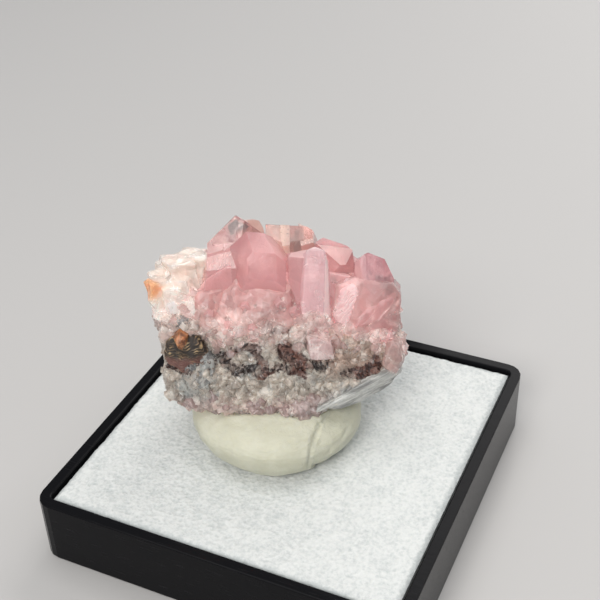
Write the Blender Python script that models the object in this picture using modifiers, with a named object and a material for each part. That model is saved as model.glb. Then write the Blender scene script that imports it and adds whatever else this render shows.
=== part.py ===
"""A thumbnail specimen of cobaltoan calcite, held by putty on the foam pad of a small display tray.

Pieces, from the table up: a black plastic tray, a white foam pad pressed into it, a mound of
mounting putty, and the specimen: a slab of granular rock, a cluster of pink calcite crystals grown
over its top, a cleaved mass of pale calcite at its left end, a nodule of iron oxide in its front and
one small crystal beside it. The frame's origin is the middle of the tray's underside, with +Z up and
the tray's sides along X and Y. The specimen has axes of its own: x runs to the right along its front,
y runs into its depth and z up through the crystals, from the middle of its lower front edge.
"""

import math

import bmesh
import bpy
from mathutils import Matrix, Vector, noise

MM = 0.001

# Tray and foam.
TRAY_SIDE = 31.75 * MM
TRAY_HEIGHT = 6.0 * MM
TRAY_WALL = 0.95 * MM
TRAY_FLOOR = 1.0 * MM
TRAY_CORNER = 1.45 * MM
TRAY_EDGE = 0.12 * MM
FOAM_RECESS = 0.2 * MM
FOAM_EDGE = 0.25 * MM

# Touching pieces keep this space between them.
GAP = 0.2 * MM
# Corners closer than this are one corner.
MERGE = 0.001 * MM

# Putty: a ball pressed flat, by its middle and half widths, with a lower top than a ball has.
PUTTY_MIDDLE = Vector((-1.35, -0.35, 8.5)) * MM
PUTTY_HALF = Vector((7.2, 7.0, 4.2)) * MM
PUTTY_TOP = 2.4 * MM
PUTTY_RINGS = 14
PUTTY_LUMP = 0.16 * MM
PUTTY_LUMP_SPACING = 3.4 * MM

# The specimen's place in the tray, its turn, and how far it leans back.
SPECIMEN_AT = Vector((0.6, -3.0, 10.6)) * MM
SPECIMEN_TURN = math.radians(25)
SPECIMEN_LEAN = math.radians(18)

# Matrix rock: a block broken along these planes, each a point in millimetres and the way it faces.
ROCK_MIDDLE = Vector((0, 5, 4)) * MM
ROCK_SIZE = 30 * MM
ROCK_BREAKS = (
    ((-4, 0.1, 4), (-0.08, -1, 0.02)),
    ((5, -0.05, 4), (0.12, -1, 0.05)),
    ((0, 0, -0.1), (-0.04, -0.04, -1)),
    ((-7.9, 0, 0.9), (-0.50, -0.20, -0.80)),
    ((-9.3, 0, 3.5), (-1, -0.08, -0.18)),
    ((-9.9, 0, 7.5), (-1, 0.06, -0.02)),
    ((6.3, 0, 1.1), (0.42, -0.10, -0.90)),
    ((9.6, 0, 3.4), (0.80, 0.10, -0.60)),
    ((9.9, 0, 5.4), (1, 0.06, 0.22)),
    ((9.75, 0, 4.4), (1, 0.02, -0.22)),
    ((-7, 0, 9.0), (0.14, -0.10, 1)),
    ((3, 0, 7.0), (0.16, -0.12, 1)),
    ((0, 10.4, 4), (0.08, 1, 0.10)),
    ((-7.5, 9.2, 4), (-0.62, 0.78, -0.05)),
    ((8.2, 8.4, 4), (0.70, 0.70, -0.12)),
    ((0, 8.6, 1.0), (0, 0.62, -0.78)),
)
ROCK_VOXEL = 0.72 * MM
ROCK_SMOOTHING = 1
ROCK_LUMPS = ((3.1 * MM, 0.36 * MM), (1.4 * MM, 0.34 * MM))

# The steepness of calcite's cleavage faces, and the sharp angle in the corner of each.
CLEAVAGE_SLOPE = math.radians(44.6)
CLEAVAGE_ANGLE = math.radians(78)

# The crystals that stand out. Each is a block cut along an outline (x and z in millimetres, going
# round to the left from the top) at a depth; each side of the outline spreads by its own angle
# behind that depth. Then faces are cut across it, each a point and the way it faces.
BIG_CRYSTALS = {
    "mass": {
        "outline": ((3.0, 11.6), (-5.6, 11.4), (-7.0, 9.6), (-7.0, 7.4), (9.0, 5.2), (9.2, 8.8), (7.0, 10.8)),
        "spread": (-10, -8, 4, 0, 0, -8, -12),
        "depth": 1.2,
        "back": 9.0,
        "faces": (((0.0, 0.9, 9.0), (0.0, -1, 0.10)), ((-5.0, 8.0, 9.0), (-0.4, 1, 0.3)),
                  ((6.0, 7.8, 9.0), (0.5, 1, 0.3))),
    },
    "peak": {
        "outline": ((-3.35, 16.1), (-5.65, 13.8), (-5.75, 12.1), (-5.3, 7.2), (-0.8, 7.2), (-0.9, 14.4)),
        "spread": (-26, 0, 6, 0, 0, -22),
        "depth": 2.5,
        "back": 5.2,
        "faces": (((-4.4, 2.3, 13.6), (-0.16, -1, 0.30)), ((-3.0, 2.2, 14.6), (0.60, -1, 0.20)),
                  ((-4.8, 1.7, 11.4), (-0.30, -1, -0.10))),
    },
    "middle": {
        "outline": ((-2.45, 14.9), (-3.83, 13.6), (-3.85, 11.1), (-3.0, 8.0), (0.5, 8.0), (0.72, 12.85),
                    (-1.1, 14.7)),
        "spread": (29, 33, 20, 12, 3, 3, 25),
        "depth": 1.4,
        "back": 4.2,
        "faces": (((-1.0, -0.9, 12.4), (0.06, -1, 0.14)), ((-1.2, -0.75, 11.2), (-0.10, -1, -0.75)),
                  ((0.4, -0.5, 12.0), (0.80, -1, 0.10)), ((-2.45, 1.4, 14.9), (-0.66, 0.45, 0.72)),
                  ((-2.45, 1.4, 14.9), (0.12, 0.45, 1)), ((-3.85, 1.5, 12.4), (-1, 0.10, 0.05))),
    },
    "flat_top": {
        "outline": ((2.3, 14.5), (-1.0, 14.8), (-1.0, 7.6), (2.7, 7.6), (3.0, 13.0), (2.9, 14.0)),
        "spread": (-22, 0, 0, 4, 4, -20),
        "depth": 4.0,
        "back": 7.0,
        "faces": (((0.75, 1.9, 13), (-0.42, -1, 0.04)), ((0.75, 1.9, 13), (0.40, -1, 0.08)),
                  ((0.8, 3.6, 14.6), (0.05, -0.50, 0.86))),
    },
    "upright": {
        "outline": ((2.9, 14.1), (2.3, 13.8), (2.05, 12.2), (1.40, 9.2), (1.4, 8.1), (3.7, 7.9), (3.65, 13.6)),
        "spread": (-22, 20, 26, 14, 0, 16, -24),
        "depth": -0.6,
        "back": 3.0,
        "faces": (((2.6, -0.75, 11), (-0.04, -1, 0.08)), ((3.1, -0.62, 13.75), (0.10, -0.8, 0.9))),
    },
    "right_ridge": {
        "outline": ((3.6, 14.1), (3.0, 13.7), (2.8, 11.0), (3.0, 7.0), (5.9, 7.0), (6.0, 12.2), (5.9, 13.0),
                    (5.45, 13.35)),
        "spread": (-20, 0, 0, 0, 4, 0, -14, -22),
        "depth": 2.0,
        "back": 4.8,
        "faces": (((4.5, 1.4, 12.2), (0.06, -1, 0.24)), ((3.5, 1.3, 12.6), (-0.70, -1, -0.10)),
                  ((5.6, 1.5, 11.8), (0.85, -1, -0.20)), ((4.4, 1.62, 13.55), (0.12, -0.75, 0.66))),
    },
    "right_peak": {
        "outline": ((7.1, 12.85), (6.75, 12.7), (6.05, 12.1), (5.9, 6.6), (9.3, 6.6), (9.15, 10.7), (8.45, 12.25)),
        "spread": (-20, -12, 0, 0, 2, -4, -20),
        "depth": 1.5,
        "back": 4.6,
        "faces": (((7.4, 0.8, 11.2), (0.05, -1, 0.26)), ((6.5, 0.8, 11.0), (-0.75, -1, 0.15)),
                  ((8.6, 1.0, 11.0), (0.80, -1, 0.25))),
    },
    "right_broken": {
        "outline": ((6.0, 11.2), (4.45, 10.7), (4.1, 8.2), (4.9, 7.0), (9.0, 6.0), (9.5, 6.8), (9.6, 9.7),
                    (8.9, 10.7)),
        "spread": (-6, 14, 10, 4, 4, 4, 2, -8),
        "depth": 0.2,
        "back": 3.4,
        "faces": (((5.6, -0.75, 9.2), (-0.52, -1, 0.10)), ((7.2, -0.95, 8.6), (0.12, -1, 0.16)),
                  ((8.6, -0.6, 8.4), (0.55, -1, 0.10)), ((6.8, -0.8, 7.4), (0.25, -1, -0.60)),
                  ((6.4, -0.75, 10.2), (0.0, -1, 0.75))),
    },
    "step_left": {
        "outline": ((-3.6, 13.4), (-5.65, 12.9), (-5.75, 10.8), (-5.2, 7.4), (-3.0, 7.4), (-3.2, 13.4)),
        "spread": (0, 4, 6, 0, 0, 10),
        "depth": 1.0,
        "back": 3.2,
        "faces": (((-4.7, 0.75, 11.6), (-0.10, -1, -0.06)), ((-4.6, 0.9, 12.4), (-0.15, -1, 0.50))),
    },
    "low_left": {
        "outline": ((-6.1, 10.4), (-7.3, 9.9), (-7.7, 9.0), (-7.2, 7.8), (-4.6, 7.5), (-4.4, 10.4)),
        "spread": (10, 10, 6, 0, 4, 8),
        "depth": 0.4,
        "back": 3.4,
        "faces": (((-5.9, -0.15, 9.4), (-0.20, -1, 0.25)), ((-6.6, 0.0, 9.2), (-0.70, -1, 0.05)),
                  ((-5.0, 0.05, 9.0), (0.50, -1, 0.10))),
    },
    "low_middle": {
        "outline": ((-1.6, 10.9), (-3.4, 10.3), (-3.9, 8.4), (-2.8, 6.9), (0.2, 6.7), (1.2, 8.2), (0.9, 10.4)),
        "spread": (20, 20, 12, 0, 0, 12, 18),
        "depth": 0.0,
        "back": 2.4,
        "faces": (((-1.4, -0.85, 9.4), (-0.25, -1, 0.30)), ((0.0, -0.8, 9.2), (0.45, -1, 0.20)),
                  ((-1.2, -0.8, 8.2), (0.05, -1, -0.50))),
    },
    "leaning_left": {
        "outline": ((-3.3, 11.0), (-4.5, 10.2), (-5.1, 8.2), (-4.6, 7.1), (-2.4, 7.1), (-2.3, 10.2)),
        "spread": (16, 14, 10, 0, 0, 10),
        "depth": 0.1,
        "back": 2.6,
        "faces": (((-3.8, -0.55, 9.2), (-0.35, -1, 0.18)), ((-3.0, -0.5, 9.4), (0.45, -1, 0.25))),
    },
}

# Lesser crystals: foot and tip in millimetres, width, and the turn of their faces in degrees.
LESSER_CRYSTALS = (
    ((-2.3, 6.6, 7.4), (-1.9, 5.6, 14.95), 2.0, 10),
    ((0.9, 2.0, 7.0), (1.1, 0.6, 13.3), 2.2, 30),
    ((-4.6, 6.6, 8.0), (-5.4, 7.2, 12.6), 3.4, 20),
    ((-3.0, 8.2, 8.0), (-3.6, 9.2, 13.0), 3.6, 40),
    ((0.6, 8.4, 7.6), (0.2, 9.6, 12.8), 3.9, 15),
    ((3.6, 7.2, 7.4), (4.2, 7.6, 12.3), 3.6, 50),
    ((6.4, 6.4, 6.6), (7.0, 6.8, 11.2), 3.4, 5),
    ((7.6, 4.2, 6.0), (8.8, 4.4, 10.4), 2.6, 35),
    ((4.6, 9.0, 7.0), (5.4, 10.4, 11.0), 3.2, 30),
    ((-1.8, 9.6, 7.6), (-2.2, 11.0, 11.4), 2.8, 0),
    ((3.9, 1.0, 7.4), (4.3, -0.5, 10.8), 1.9, 20),
    ((8.1, 1.4, 6.0), (8.7, 0.5, 9.4), 2.0, 10),
    ((-2.8, 1.0, 8.4), (-2.6, -0.9, 9.6), 1.5, 15),
    ((-0.4, 0.8, 8.6), (0.1, -1.3, 9.9), 1.6, 40),
    ((0.9, 1.0, 8.0), (1.2, -0.9, 9.0), 1.3, 5),
    ((-5.4, 1.2, 8.2), (-5.6, -0.6, 8.8), 1.3, 30),
    ((-4.2, 1.2, 7.8), (-4.0, -0.8, 7.9), 1.2, 50),
    ((-1.8, 1.2, 7.5), (-2.2, -0.9, 7.6), 1.3, 20),
    ((4.6, 1.2, 7.4), (4.4, -0.8, 7.6), 1.3, 35),
    ((6.2, 1.2, 7.0), (6.0, -0.7, 6.6), 1.2, 10),
    ((8.2, 1.2, 6.8), (8.6, -0.6, 6.4), 1.3, 25),
)
PRISM_TAPER = 0.92

# The pale calcite: cleavage blocks, by middle, size and turn.
PALE_BLOCKS = (
    ((-8.9, 2.0, 9.7), (2.4, 3.6, 3.6), 6),
    ((-7.7, 2.0, 10.7), (2.2, 3.2, 4.2), 14),
    ((-6.3, 2.4, 11.4), (2.3, 3.0, 3.3), -8),
    ((-8.0, 5.4, 9.6), (3.4, 4.4, 3.6), 20),
    ((-9.4, 0.8, 9.7), (1.6, 1.4, 3.2), 24),
    ((-7.4, 0.5, 10.1), (1.7, 1.5, 3.1), -18),
    ((-6.8, 6.2, 10.1), (3.0, 4.0, 3.4), -10),
    ((-8.3, 0.3, 9.8), (1.5, 1.3, 2.2), 8),
)

# Iron oxide nodule and the small crystal, both let into the rock's front.
NODULE_MIDDLE = Vector((-7.6, 0.25, 5.4)) * MM
NODULE_HALF = Vector((1.75, 0.95, 1.6)) * MM
NODULE_RIDGES = 9
NODULE_RIDGE_HEIGHT = 0.10 * MM
SMALL_CRYSTAL = {
    "outline": ((2.95, 6.6), (2.15, 6.45), (2.3, 4.75), (4.2, 4.7), (4.0, 6.15)),
    "spread": (14, 12, 12, 8, 14),
    "depth": -0.5,
    "back": 0.9,
    "faces": (((3.1, -0.8, 5.8), (-0.10, -1, 0.12)), ((3.8, -0.7, 5.8), (0.5, -1, 0.0))),
}

MATERIALS = {
    "tray_plastic": {"colour": (0.012, 0.012, 0.013), "roughness": 0.22, "metallic": 0.0},
    "white_foam": {"colour": (0.86, 0.87, 0.87), "roughness": 0.95, "metallic": 0.0},
    "putty": {"colour": (0.80, 0.77, 0.63), "roughness": 0.60, "metallic": 0.0},
    "granular_rock": {"colour": (0.46, 0.38, 0.35), "roughness": 0.70, "metallic": 0.0},
    "pink_calcite": {"colour": (0.78, 0.38, 0.40), "roughness": 0.12, "metallic": 0.0},
    "pale_calcite": {"colour": (0.82, 0.70, 0.62), "roughness": 0.30, "metallic": 0.0},
    "iron_oxide": {"colour": (0.10, 0.04, 0.02), "roughness": 0.55, "metallic": 0.0},
}


def clear_scene():
    """Empty the file, so that only this specimen is in it."""
    for other in list(bpy.data.objects):
        bpy.data.objects.remove(other, do_unlink=True)


def new_collection(name):
    """A collection of its own in the scene."""
    collection = bpy.data.collections.new(name)
    bpy.context.scene.collection.children.link(collection)
    return collection


def make_material(name):
    """A Principled material with the values listed for it."""
    values = MATERIALS[name]
    material = bpy.data.materials.new(name)
    material.use_nodes = True
    shader = material.node_tree.nodes["Principled BSDF"]
    shader.inputs["Base Color"].default_value = (*values["colour"], 1.0)
    shader.inputs["Roughness"].default_value = values["roughness"]
    shader.inputs["Metallic"].default_value = values["metallic"]
    return material


def object_from(bm, name, collection):
    """Turn a bmesh into an object in a collection, with its faces pointing out."""
    bmesh.ops.recalc_face_normals(bm, faces=bm.faces)
    mesh = bpy.data.meshes.new(name)
    bm.to_mesh(mesh)
    bm.free()
    made = bpy.data.objects.new(name, mesh)
    collection.objects.link(made)
    return made


def hide_cutter(cutter):
    """Mark a shape that only cuts others."""
    cutter.hide_render = True
    cutter.display_type = "WIRE"
    return cutter


def settle(made):
    """Turn an object's modifiers into plain mesh."""
    graph = bpy.context.evaluated_depsgraph_get()
    graph.update()
    mesh = bpy.data.meshes.new_from_object(made.evaluated_get(graph))
    made.modifiers.clear()
    made.data = mesh
    return made


def cut(bm, point, facing):
    """Cut a closed shape along a plane, take off what lies in front of it, and close the cut."""
    everything = bm.verts[:] + bm.edges[:] + bm.faces[:]
    found = bmesh.ops.bisect_plane(
        bm, geom=everything, dist=MERGE, plane_co=point, plane_no=facing, clear_outer=True)
    edges = [item for item in found["geom_cut"] if isinstance(item, bmesh.types.BMEdge)]
    if edges:
        bmesh.ops.contextual_create(bm, geom=edges)
    bmesh.ops.remove_doubles(bm, verts=bm.verts, dist=MERGE)


def block(middle, size):
    """A cube to cut from."""
    bm = bmesh.new()
    bmesh.ops.create_cube(bm, size=size, matrix=Matrix.Translation(middle))
    return bm


def combine(made, others, operation):
    """Join other shapes to an object, or take them away, at a size that suits the solver's tolerances."""
    enlarge = Matrix.Scale(1 / MM, 4)
    reduce = Matrix.Scale(MM, 4)
    made.data.transform(enlarge)
    for other in others:
        other.data.transform(enlarge)
        step = made.modifiers.new(operation.lower(), "BOOLEAN")
        step.operation = operation
        step.solver = "EXACT"
        step.object = other
        settle(made)
        other.data.transform(reduce)
    made.data.transform(reduce)
    return made


def keep_largest(made):
    """Drop the crumbs that a cut leaves beside the main body."""
    bm = bmesh.new()
    bm.from_mesh(made.data)
    bmesh.ops.remove_doubles(bm, verts=bm.verts, dist=MERGE)
    bmesh.ops.dissolve_degenerate(bm, edges=bm.edges, dist=MERGE)
    bm.verts.ensure_lookup_table()
    unseen = set(bm.verts)
    bodies = []
    while unseen:
        front = [unseen.pop()]
        body = []
        while front:
            corner = front.pop()
            body.append(corner)
            for edge in corner.link_edges:
                other = edge.other_vert(corner)
                if other in unseen:
                    unseen.remove(other)
                    front.append(other)
        bodies.append(body)
    bodies.sort(key=len)
    for body in bodies[:-1]:
        bmesh.ops.delete(bm, geom=body, context="VERTS")
    bm.to_mesh(made.data)
    bm.free()
    return made


def outlined_crystal(values, grow=0.0):
    """A block cut along each side of an outline, then across its front and its back."""
    outline = [Vector((x, 0, z)) * MM for x, z in values["outline"]]
    depth = values["depth"] * MM
    back = values["back"] * MM
    middle = sum(outline, Vector()) / len(outline) + Vector((0, (depth + back) / 2, 0))
    bm = block(middle, ROCK_SIZE)
    for index, spread in enumerate(values["spread"]):
        start = outline[index] + Vector((0, depth, 0))
        along = outline[(index + 1) % len(outline)] + Vector((0, depth, 0)) - start
        outward = Vector((along.z, 0, -along.x)).normalized()
        facing = (outward - Vector((0, math.tan(math.radians(spread)), 0))).normalized()
        cut(bm, start + facing * grow, facing)
    for point, facing in values["faces"]:
        facing = Vector(facing).normalized()
        cut(bm, Vector(point) * MM + facing * grow, facing)
    cut(bm, Vector((0, back + grow, 0)), Vector((0, 1, 0)))
    return bm


def lesser_crystal(foot, tip, width, turn, grow=0.0):
    """A six-sided prism from foot to tip, its end cut by three faces that meet at the tip."""
    foot = Vector(foot) * MM
    along = Vector(tip) * MM - foot
    tip = foot + along + along.normalized() * grow
    along = tip - foot
    radius = width * MM / 2 + grow
    upright = along.to_track_quat("Z", "X").to_matrix().to_4x4()
    place = Matrix.Translation((foot + tip) / 2) @ upright @ Matrix.Rotation(math.radians(turn), 4, "Z")
    bm = bmesh.new()
    bmesh.ops.create_cone(
        bm, cap_ends=True, segments=6, radius1=radius, radius2=radius * PRISM_TAPER, depth=along.length,
        matrix=place)
    for corner in range(3):
        angle = math.radians(120 * corner + 30)
        facing = Vector((
            math.sin(CLEAVAGE_SLOPE) * math.cos(angle), math.sin(CLEAVAGE_SLOPE) * math.sin(angle), math.cos(CLEAVAGE_SLOPE)))
        cut(bm, tip, place.to_3x3() @ facing)
    return bm


def all_crystals(collection, grow=0.0):
    """Every pink crystal as an object of its own."""
    shapes = [outlined_crystal(values, grow) for values in BIG_CRYSTALS.values()]
    shapes += [lesser_crystal(*values, grow) for values in LESSER_CRYSTALS]
    return [hide_cutter(object_from(shape, "crystal", collection)) for shape in shapes]


def cleavage_block(middle, size, turn):
    """A box sheared to calcite's cleavage angle."""
    bm = bmesh.new()
    lean = math.tan(math.pi / 2 - CLEAVAGE_ANGLE)
    shear = Matrix(((1, 0, -lean, 0), (0, 1, -lean, 0), (0, 0, 1, 0), (0, 0, 0, 1)))
    spin = Matrix.Rotation(math.radians(turn), 4, "Z")
    stretch = Matrix.Diagonal((*(Vector(size) * MM), 1))
    place = Matrix.Translation(Vector(middle) * MM) @ spin @ shear @ stretch
    bmesh.ops.create_cube(bm, size=1, matrix=place)
    return bm


def rough(point, lumps):
    """How far a surface swells at a point: layers of noise, each with a spacing and a height."""
    return sum(noise.noise(point / spacing) * height for spacing, height in lumps)


def rock_shape(name, collection, grow=0.0):
    """The broken block with a fine even mesh, pushed in and out by noise along its normals."""
    bm = block(ROCK_MIDDLE, ROCK_SIZE)
    for point, facing in ROCK_BREAKS:
        facing = Vector(facing).normalized()
        cut(bm, Vector(point) * MM + facing * grow, facing)
    rock = object_from(bm, name, collection)
    fine = rock.modifiers.new("even_mesh", "REMESH")
    fine.mode = "VOXEL"
    fine.voxel_size = ROCK_VOXEL
    settle(rock)
    bm = bmesh.new()
    bm.from_mesh(rock.data)
    for _ in range(ROCK_SMOOTHING):
        bmesh.ops.smooth_vert(bm, verts=bm.verts, factor=0.5, use_axis_x=True, use_axis_y=True, use_axis_z=True)
    bm.normal_update()
    moves = [(corner, corner.normal * rough(corner.co, ROCK_LUMPS)) for corner in bm.verts]
    for corner, move in moves:
        corner.co += move
    bm.to_mesh(rock.data)
    bm.free()
    return rock


def make_tray(collection):
    """An open square box with rounded upright corners and a small rounding on every edge."""
    bm = bmesh.new()
    middle = Matrix.Translation((0, 0, TRAY_HEIGHT / 2))
    bmesh.ops.create_cube(bm, size=1, matrix=middle @ Matrix.Diagonal((TRAY_SIDE, TRAY_SIDE, TRAY_HEIGHT, 1)))
    upright = [edge for edge in bm.edges if abs(edge.verts[0].co.z - edge.verts[1].co.z) > TRAY_HEIGHT / 2]
    bmesh.ops.bevel(bm, geom=upright, offset=TRAY_CORNER, segments=4, profile=0.5, affect="EDGES")
    top = [face for face in bm.faces if face.normal.z > 0.9]
    bmesh.ops.inset_region(bm, faces=top, thickness=TRAY_WALL, use_even_offset=True)
    down = bmesh.ops.extrude_face_region(bm, geom=top)
    floor = [item for item in down["geom"] if isinstance(item, bmesh.types.BMVert)]
    bmesh.ops.delete(bm, geom=top, context="FACES")
    bmesh.ops.translate(bm, verts=floor, vec=(0, 0, TRAY_FLOOR - TRAY_HEIGHT))
    tray = object_from(bm, "display_tray", collection)
    edge = tray.modifiers.new("edge", "BEVEL")
    edge.width = TRAY_EDGE
    edge.segments = 2
    edge.limit_method = "ANGLE"
    edge.angle_limit = math.radians(60)
    return settle(tray)


def make_foam(collection):
    """A square pad that fills the tray to just under its rim."""
    inside = TRAY_SIDE / 2 - TRAY_WALL - GAP
    bottom = TRAY_FLOOR + GAP
    top = TRAY_HEIGHT - FOAM_RECESS
    bm = bmesh.new()
    middle = Matrix.Translation((0, 0, (top + bottom) / 2))
    bmesh.ops.create_cube(bm, size=1, matrix=middle @ Matrix.Diagonal((2 * inside, 2 * inside, top - bottom, 1)))
    foam = object_from(bm, "foam_pad", collection)
    edge = foam.modifiers.new("edge", "BEVEL")
    edge.width = FOAM_EDGE
    edge.segments = 2
    return settle(foam)


def make_putty(collection, rock_cutter):
    """A flattened ball that rests on the foam and is pressed into the rock's underside."""
    bm = bmesh.new()
    shape = Matrix.Translation(PUTTY_MIDDLE) @ Matrix.Diagonal((*PUTTY_HALF, 1))
    bmesh.ops.create_uvsphere(bm, u_segments=2 * PUTTY_RINGS, v_segments=PUTTY_RINGS, radius=1, matrix=shape)
    for corner in bm.verts:
        away = (corner.co - PUTTY_MIDDLE).normalized()
        if away.z > 0:
            corner.co.z = PUTTY_MIDDLE.z + (corner.co.z - PUTTY_MIDDLE.z) * PUTTY_TOP / PUTTY_HALF.z
        corner.co += away * noise.noise(corner.co / PUTTY_LUMP_SPACING) * PUTTY_LUMP
    cut(bm, Vector((0, 0, TRAY_HEIGHT - FOAM_RECESS + GAP)), Vector((0, 0, -1)))
    putty = object_from(bm, "mounting_putty", collection)
    combine(putty, [rock_cutter], "DIFFERENCE")
    return keep_largest(putty)


def make_nodule(name, collection, grow=0.0):
    """A flattened ball with curved ridges across its face."""
    bm = bmesh.new()
    half = NODULE_HALF + Vector((grow, grow, grow))
    shape = Matrix.Translation(NODULE_MIDDLE) @ Matrix.Diagonal((*half, 1))
    bmesh.ops.create_uvsphere(bm, u_segments=18, v_segments=12, radius=1, matrix=shape)
    for corner in bm.verts:
        offset = corner.co - NODULE_MIDDLE
        wave = math.sin(NODULE_RIDGES * (offset.x / half.x + 0.5 * offset.z / half.z))
        corner.co += offset.normalized() * wave * NODULE_RIDGE_HEIGHT
    return object_from(bm, name, collection)


def main():
    """Build every piece, place the specimen in the tray and give each piece its material."""
    clear_scene()
    parts = new_collection("cobaltoan_calcite_specimen")
    cutters = new_collection("cutters")

    rock = rock_shape("matrix", parts)
    rock_cutter = hide_cutter(rock_shape("rock_cutter", cutters, GAP))

    crystals = all_crystals(cutters)
    cluster = crystals[0]
    cluster.name = "crystal_cluster"
    combine(cluster, crystals[1:], "UNION")
    combine(cluster, [rock_cutter], "DIFFERENCE")
    cutters.objects.unlink(cluster)
    parts.objects.link(cluster)
    cluster.hide_render = False
    cluster.display_type = "TEXTURED"
    keep_largest(cluster)

    blocks = [object_from(cleavage_block(*values), "cleavage_block", cutters) for values in PALE_BLOCKS]
    pale = blocks[0]
    pale.name = "pale_calcite"
    combine(pale, blocks[1:], "UNION")
    combine(pale, [rock_cutter, *all_crystals(cutters, GAP)], "DIFFERENCE")
    cutters.objects.unlink(pale)
    parts.objects.link(pale)
    keep_largest(pale)

    nodule = make_nodule("oxide_nodule", parts)
    small = object_from(outlined_crystal(SMALL_CRYSTAL), "small_crystal", parts)
    lets = [
        hide_cutter(make_nodule("nodule_cutter", cutters, GAP)),
        hide_cutter(object_from(outlined_crystal(SMALL_CRYSTAL, GAP), "small_cutter", cutters))]
    combine(rock, lets, "DIFFERENCE")
    keep_largest(rock)

    place = bpy.data.objects.new("specimen", None)
    parts.objects.link(place)
    place.location = SPECIMEN_AT
    place.rotation_euler = (-SPECIMEN_LEAN, 0, SPECIMEN_TURN)
    world = Matrix.Translation(SPECIMEN_AT) @ place.rotation_euler.to_matrix().to_4x4()

    # The putty is made in the tray's axes, so its cutter is the rock put in its place.
    pressed = rock_cutter.copy()
    pressed.data = rock_cutter.data.copy()
    pressed.data.transform(world)
    pressed.name = "pressed_cutter"
    cutters.objects.link(pressed)
    putty = make_putty(parts, pressed)

    tray = make_tray(parts)
    foam = make_foam(parts)

    for piece in (rock, cluster, pale, nodule, small):
        piece.parent = place
    dressed = {
        tray: "tray_plastic", foam: "white_foam", putty: "putty", rock: "granular_rock",
        cluster: "pink_calcite", pale: "pale_calcite", nodule: "iron_oxide", small: "pink_calcite"}
    made = {name: make_material(name) for name in MATERIALS}
    for piece, name in dressed.items():
        piece.data.materials.clear()
        piece.data.materials.append(made[name])

    for cutter in list(cutters.objects):
        bpy.data.objects.remove(cutter, do_unlink=True)
    bpy.data.collections.remove(cutters)


main()
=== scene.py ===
# %% [markdown]
# # A thumbnail specimen of cobaltoan calcite
# Pink calcite crystals on a slab of granular rock, pressed into a mound of putty on the white foam
# of a small black display tray. The solids of the part come first and stay where they are. What
# follows gives each of them the surface that the real thing has, one piece at a time.

# %% Load the frame
import math
import random

import bpy
import numpy as np
from mathutils import Matrix, Vector, noise


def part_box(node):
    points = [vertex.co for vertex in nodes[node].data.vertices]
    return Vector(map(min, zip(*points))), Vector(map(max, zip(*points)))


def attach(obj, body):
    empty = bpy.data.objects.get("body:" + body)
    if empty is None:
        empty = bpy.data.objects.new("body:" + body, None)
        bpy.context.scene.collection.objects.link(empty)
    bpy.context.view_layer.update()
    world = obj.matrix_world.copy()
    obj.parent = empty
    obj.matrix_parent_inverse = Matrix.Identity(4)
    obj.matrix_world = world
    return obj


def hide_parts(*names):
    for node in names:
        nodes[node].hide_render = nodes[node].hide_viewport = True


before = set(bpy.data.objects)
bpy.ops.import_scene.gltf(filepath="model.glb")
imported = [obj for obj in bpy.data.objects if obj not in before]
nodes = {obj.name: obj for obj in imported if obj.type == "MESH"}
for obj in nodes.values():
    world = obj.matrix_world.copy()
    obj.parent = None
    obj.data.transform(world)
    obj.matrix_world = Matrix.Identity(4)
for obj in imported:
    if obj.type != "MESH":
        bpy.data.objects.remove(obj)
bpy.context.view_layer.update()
print("solids:", ", ".join(sorted(nodes)))

# %% [markdown]
# ## Units and axes
# The specimen leans back and is turned in its tray, so it is easier to describe in axes of its own:
# x to the right along its front, y into its depth, z up through the crystals, all in millimetres.
# One matrix carries those millimetres to their place in the tray, in metres.

# %% The specimen's own axes
MM = 0.001
SPECIMEN_AT = Vector((0.6, -3.0, 10.6)) * MM
SPECIMEN_TURN = math.radians(25)
SPECIMEN_LEAN = math.radians(18)
TURNED = Matrix.Rotation(SPECIMEN_TURN, 4, "Z") @ Matrix.Rotation(-SPECIMEN_LEAN, 4, "X")
PLACE = Matrix.Translation(SPECIMEN_AT) @ TURNED @ Matrix.Scale(MM, 4)
UNPLACE = PLACE.inverted()
print("specimen front edge at", [round(c / MM, 2) for c in PLACE @ Vector((0, 0, 0))], "mm")

# %% [markdown]
# ## Camera
# The camera looks down on the specimen from its front, through a long lens that keeps its
# proportions. It could be turned by three angles, but those depend on each other. It is plainer to
# say which ways are right and up in its view, and to build the turn from those two.


# %% Put new data in the scene
def added(name, data):
    """A new object in the scene, from its camera, lamp or mesh data."""
    thing = bpy.data.objects.new(name, data)
    bpy.context.scene.collection.objects.link(thing)
    return thing


# %% Camera
CAMERA_AT = Vector((32.139, -65.047, 71.05)) * MM
CAMERA_RIGHT = Vector((0.90987, 0.41399, -0.02728))
CAMERA_UP = Vector((-0.21915, 0.53541, 0.81566))
CAMERA_BACK = CAMERA_RIGHT.cross(CAMERA_UP).normalized()
camera_data = bpy.data.cameras.new("camera")
camera_data.sensor_width = 36.0
camera_data.lens = 67.7
camera_data.clip_start = 0.005
camera_data.clip_end = 10.0
camera = added("camera", camera_data)
camera_turn = Matrix((CAMERA_RIGHT, CAMERA_UP, CAMERA_BACK)).transposed().to_4x4()
camera.matrix_world = Matrix.Translation(CAMERA_AT) @ camera_turn
bpy.context.scene.camera = camera
print("camera", round(CAMERA_AT.length / MM), "mm from the tray's middle, lens", camera_data.lens, "mm")

# %% [markdown]
# ## Floor and light
# A pale floor and three soft lamps stand for a small studio. The broad lamp overhead gives the even
# light. The one in front is the key light that tells one crystal face from the next. The one behind
# makes the clear crystals glow, which they only do when light comes through them. All three are the
# same kind of square lamp, so one function makes each from a row of values.


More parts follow.
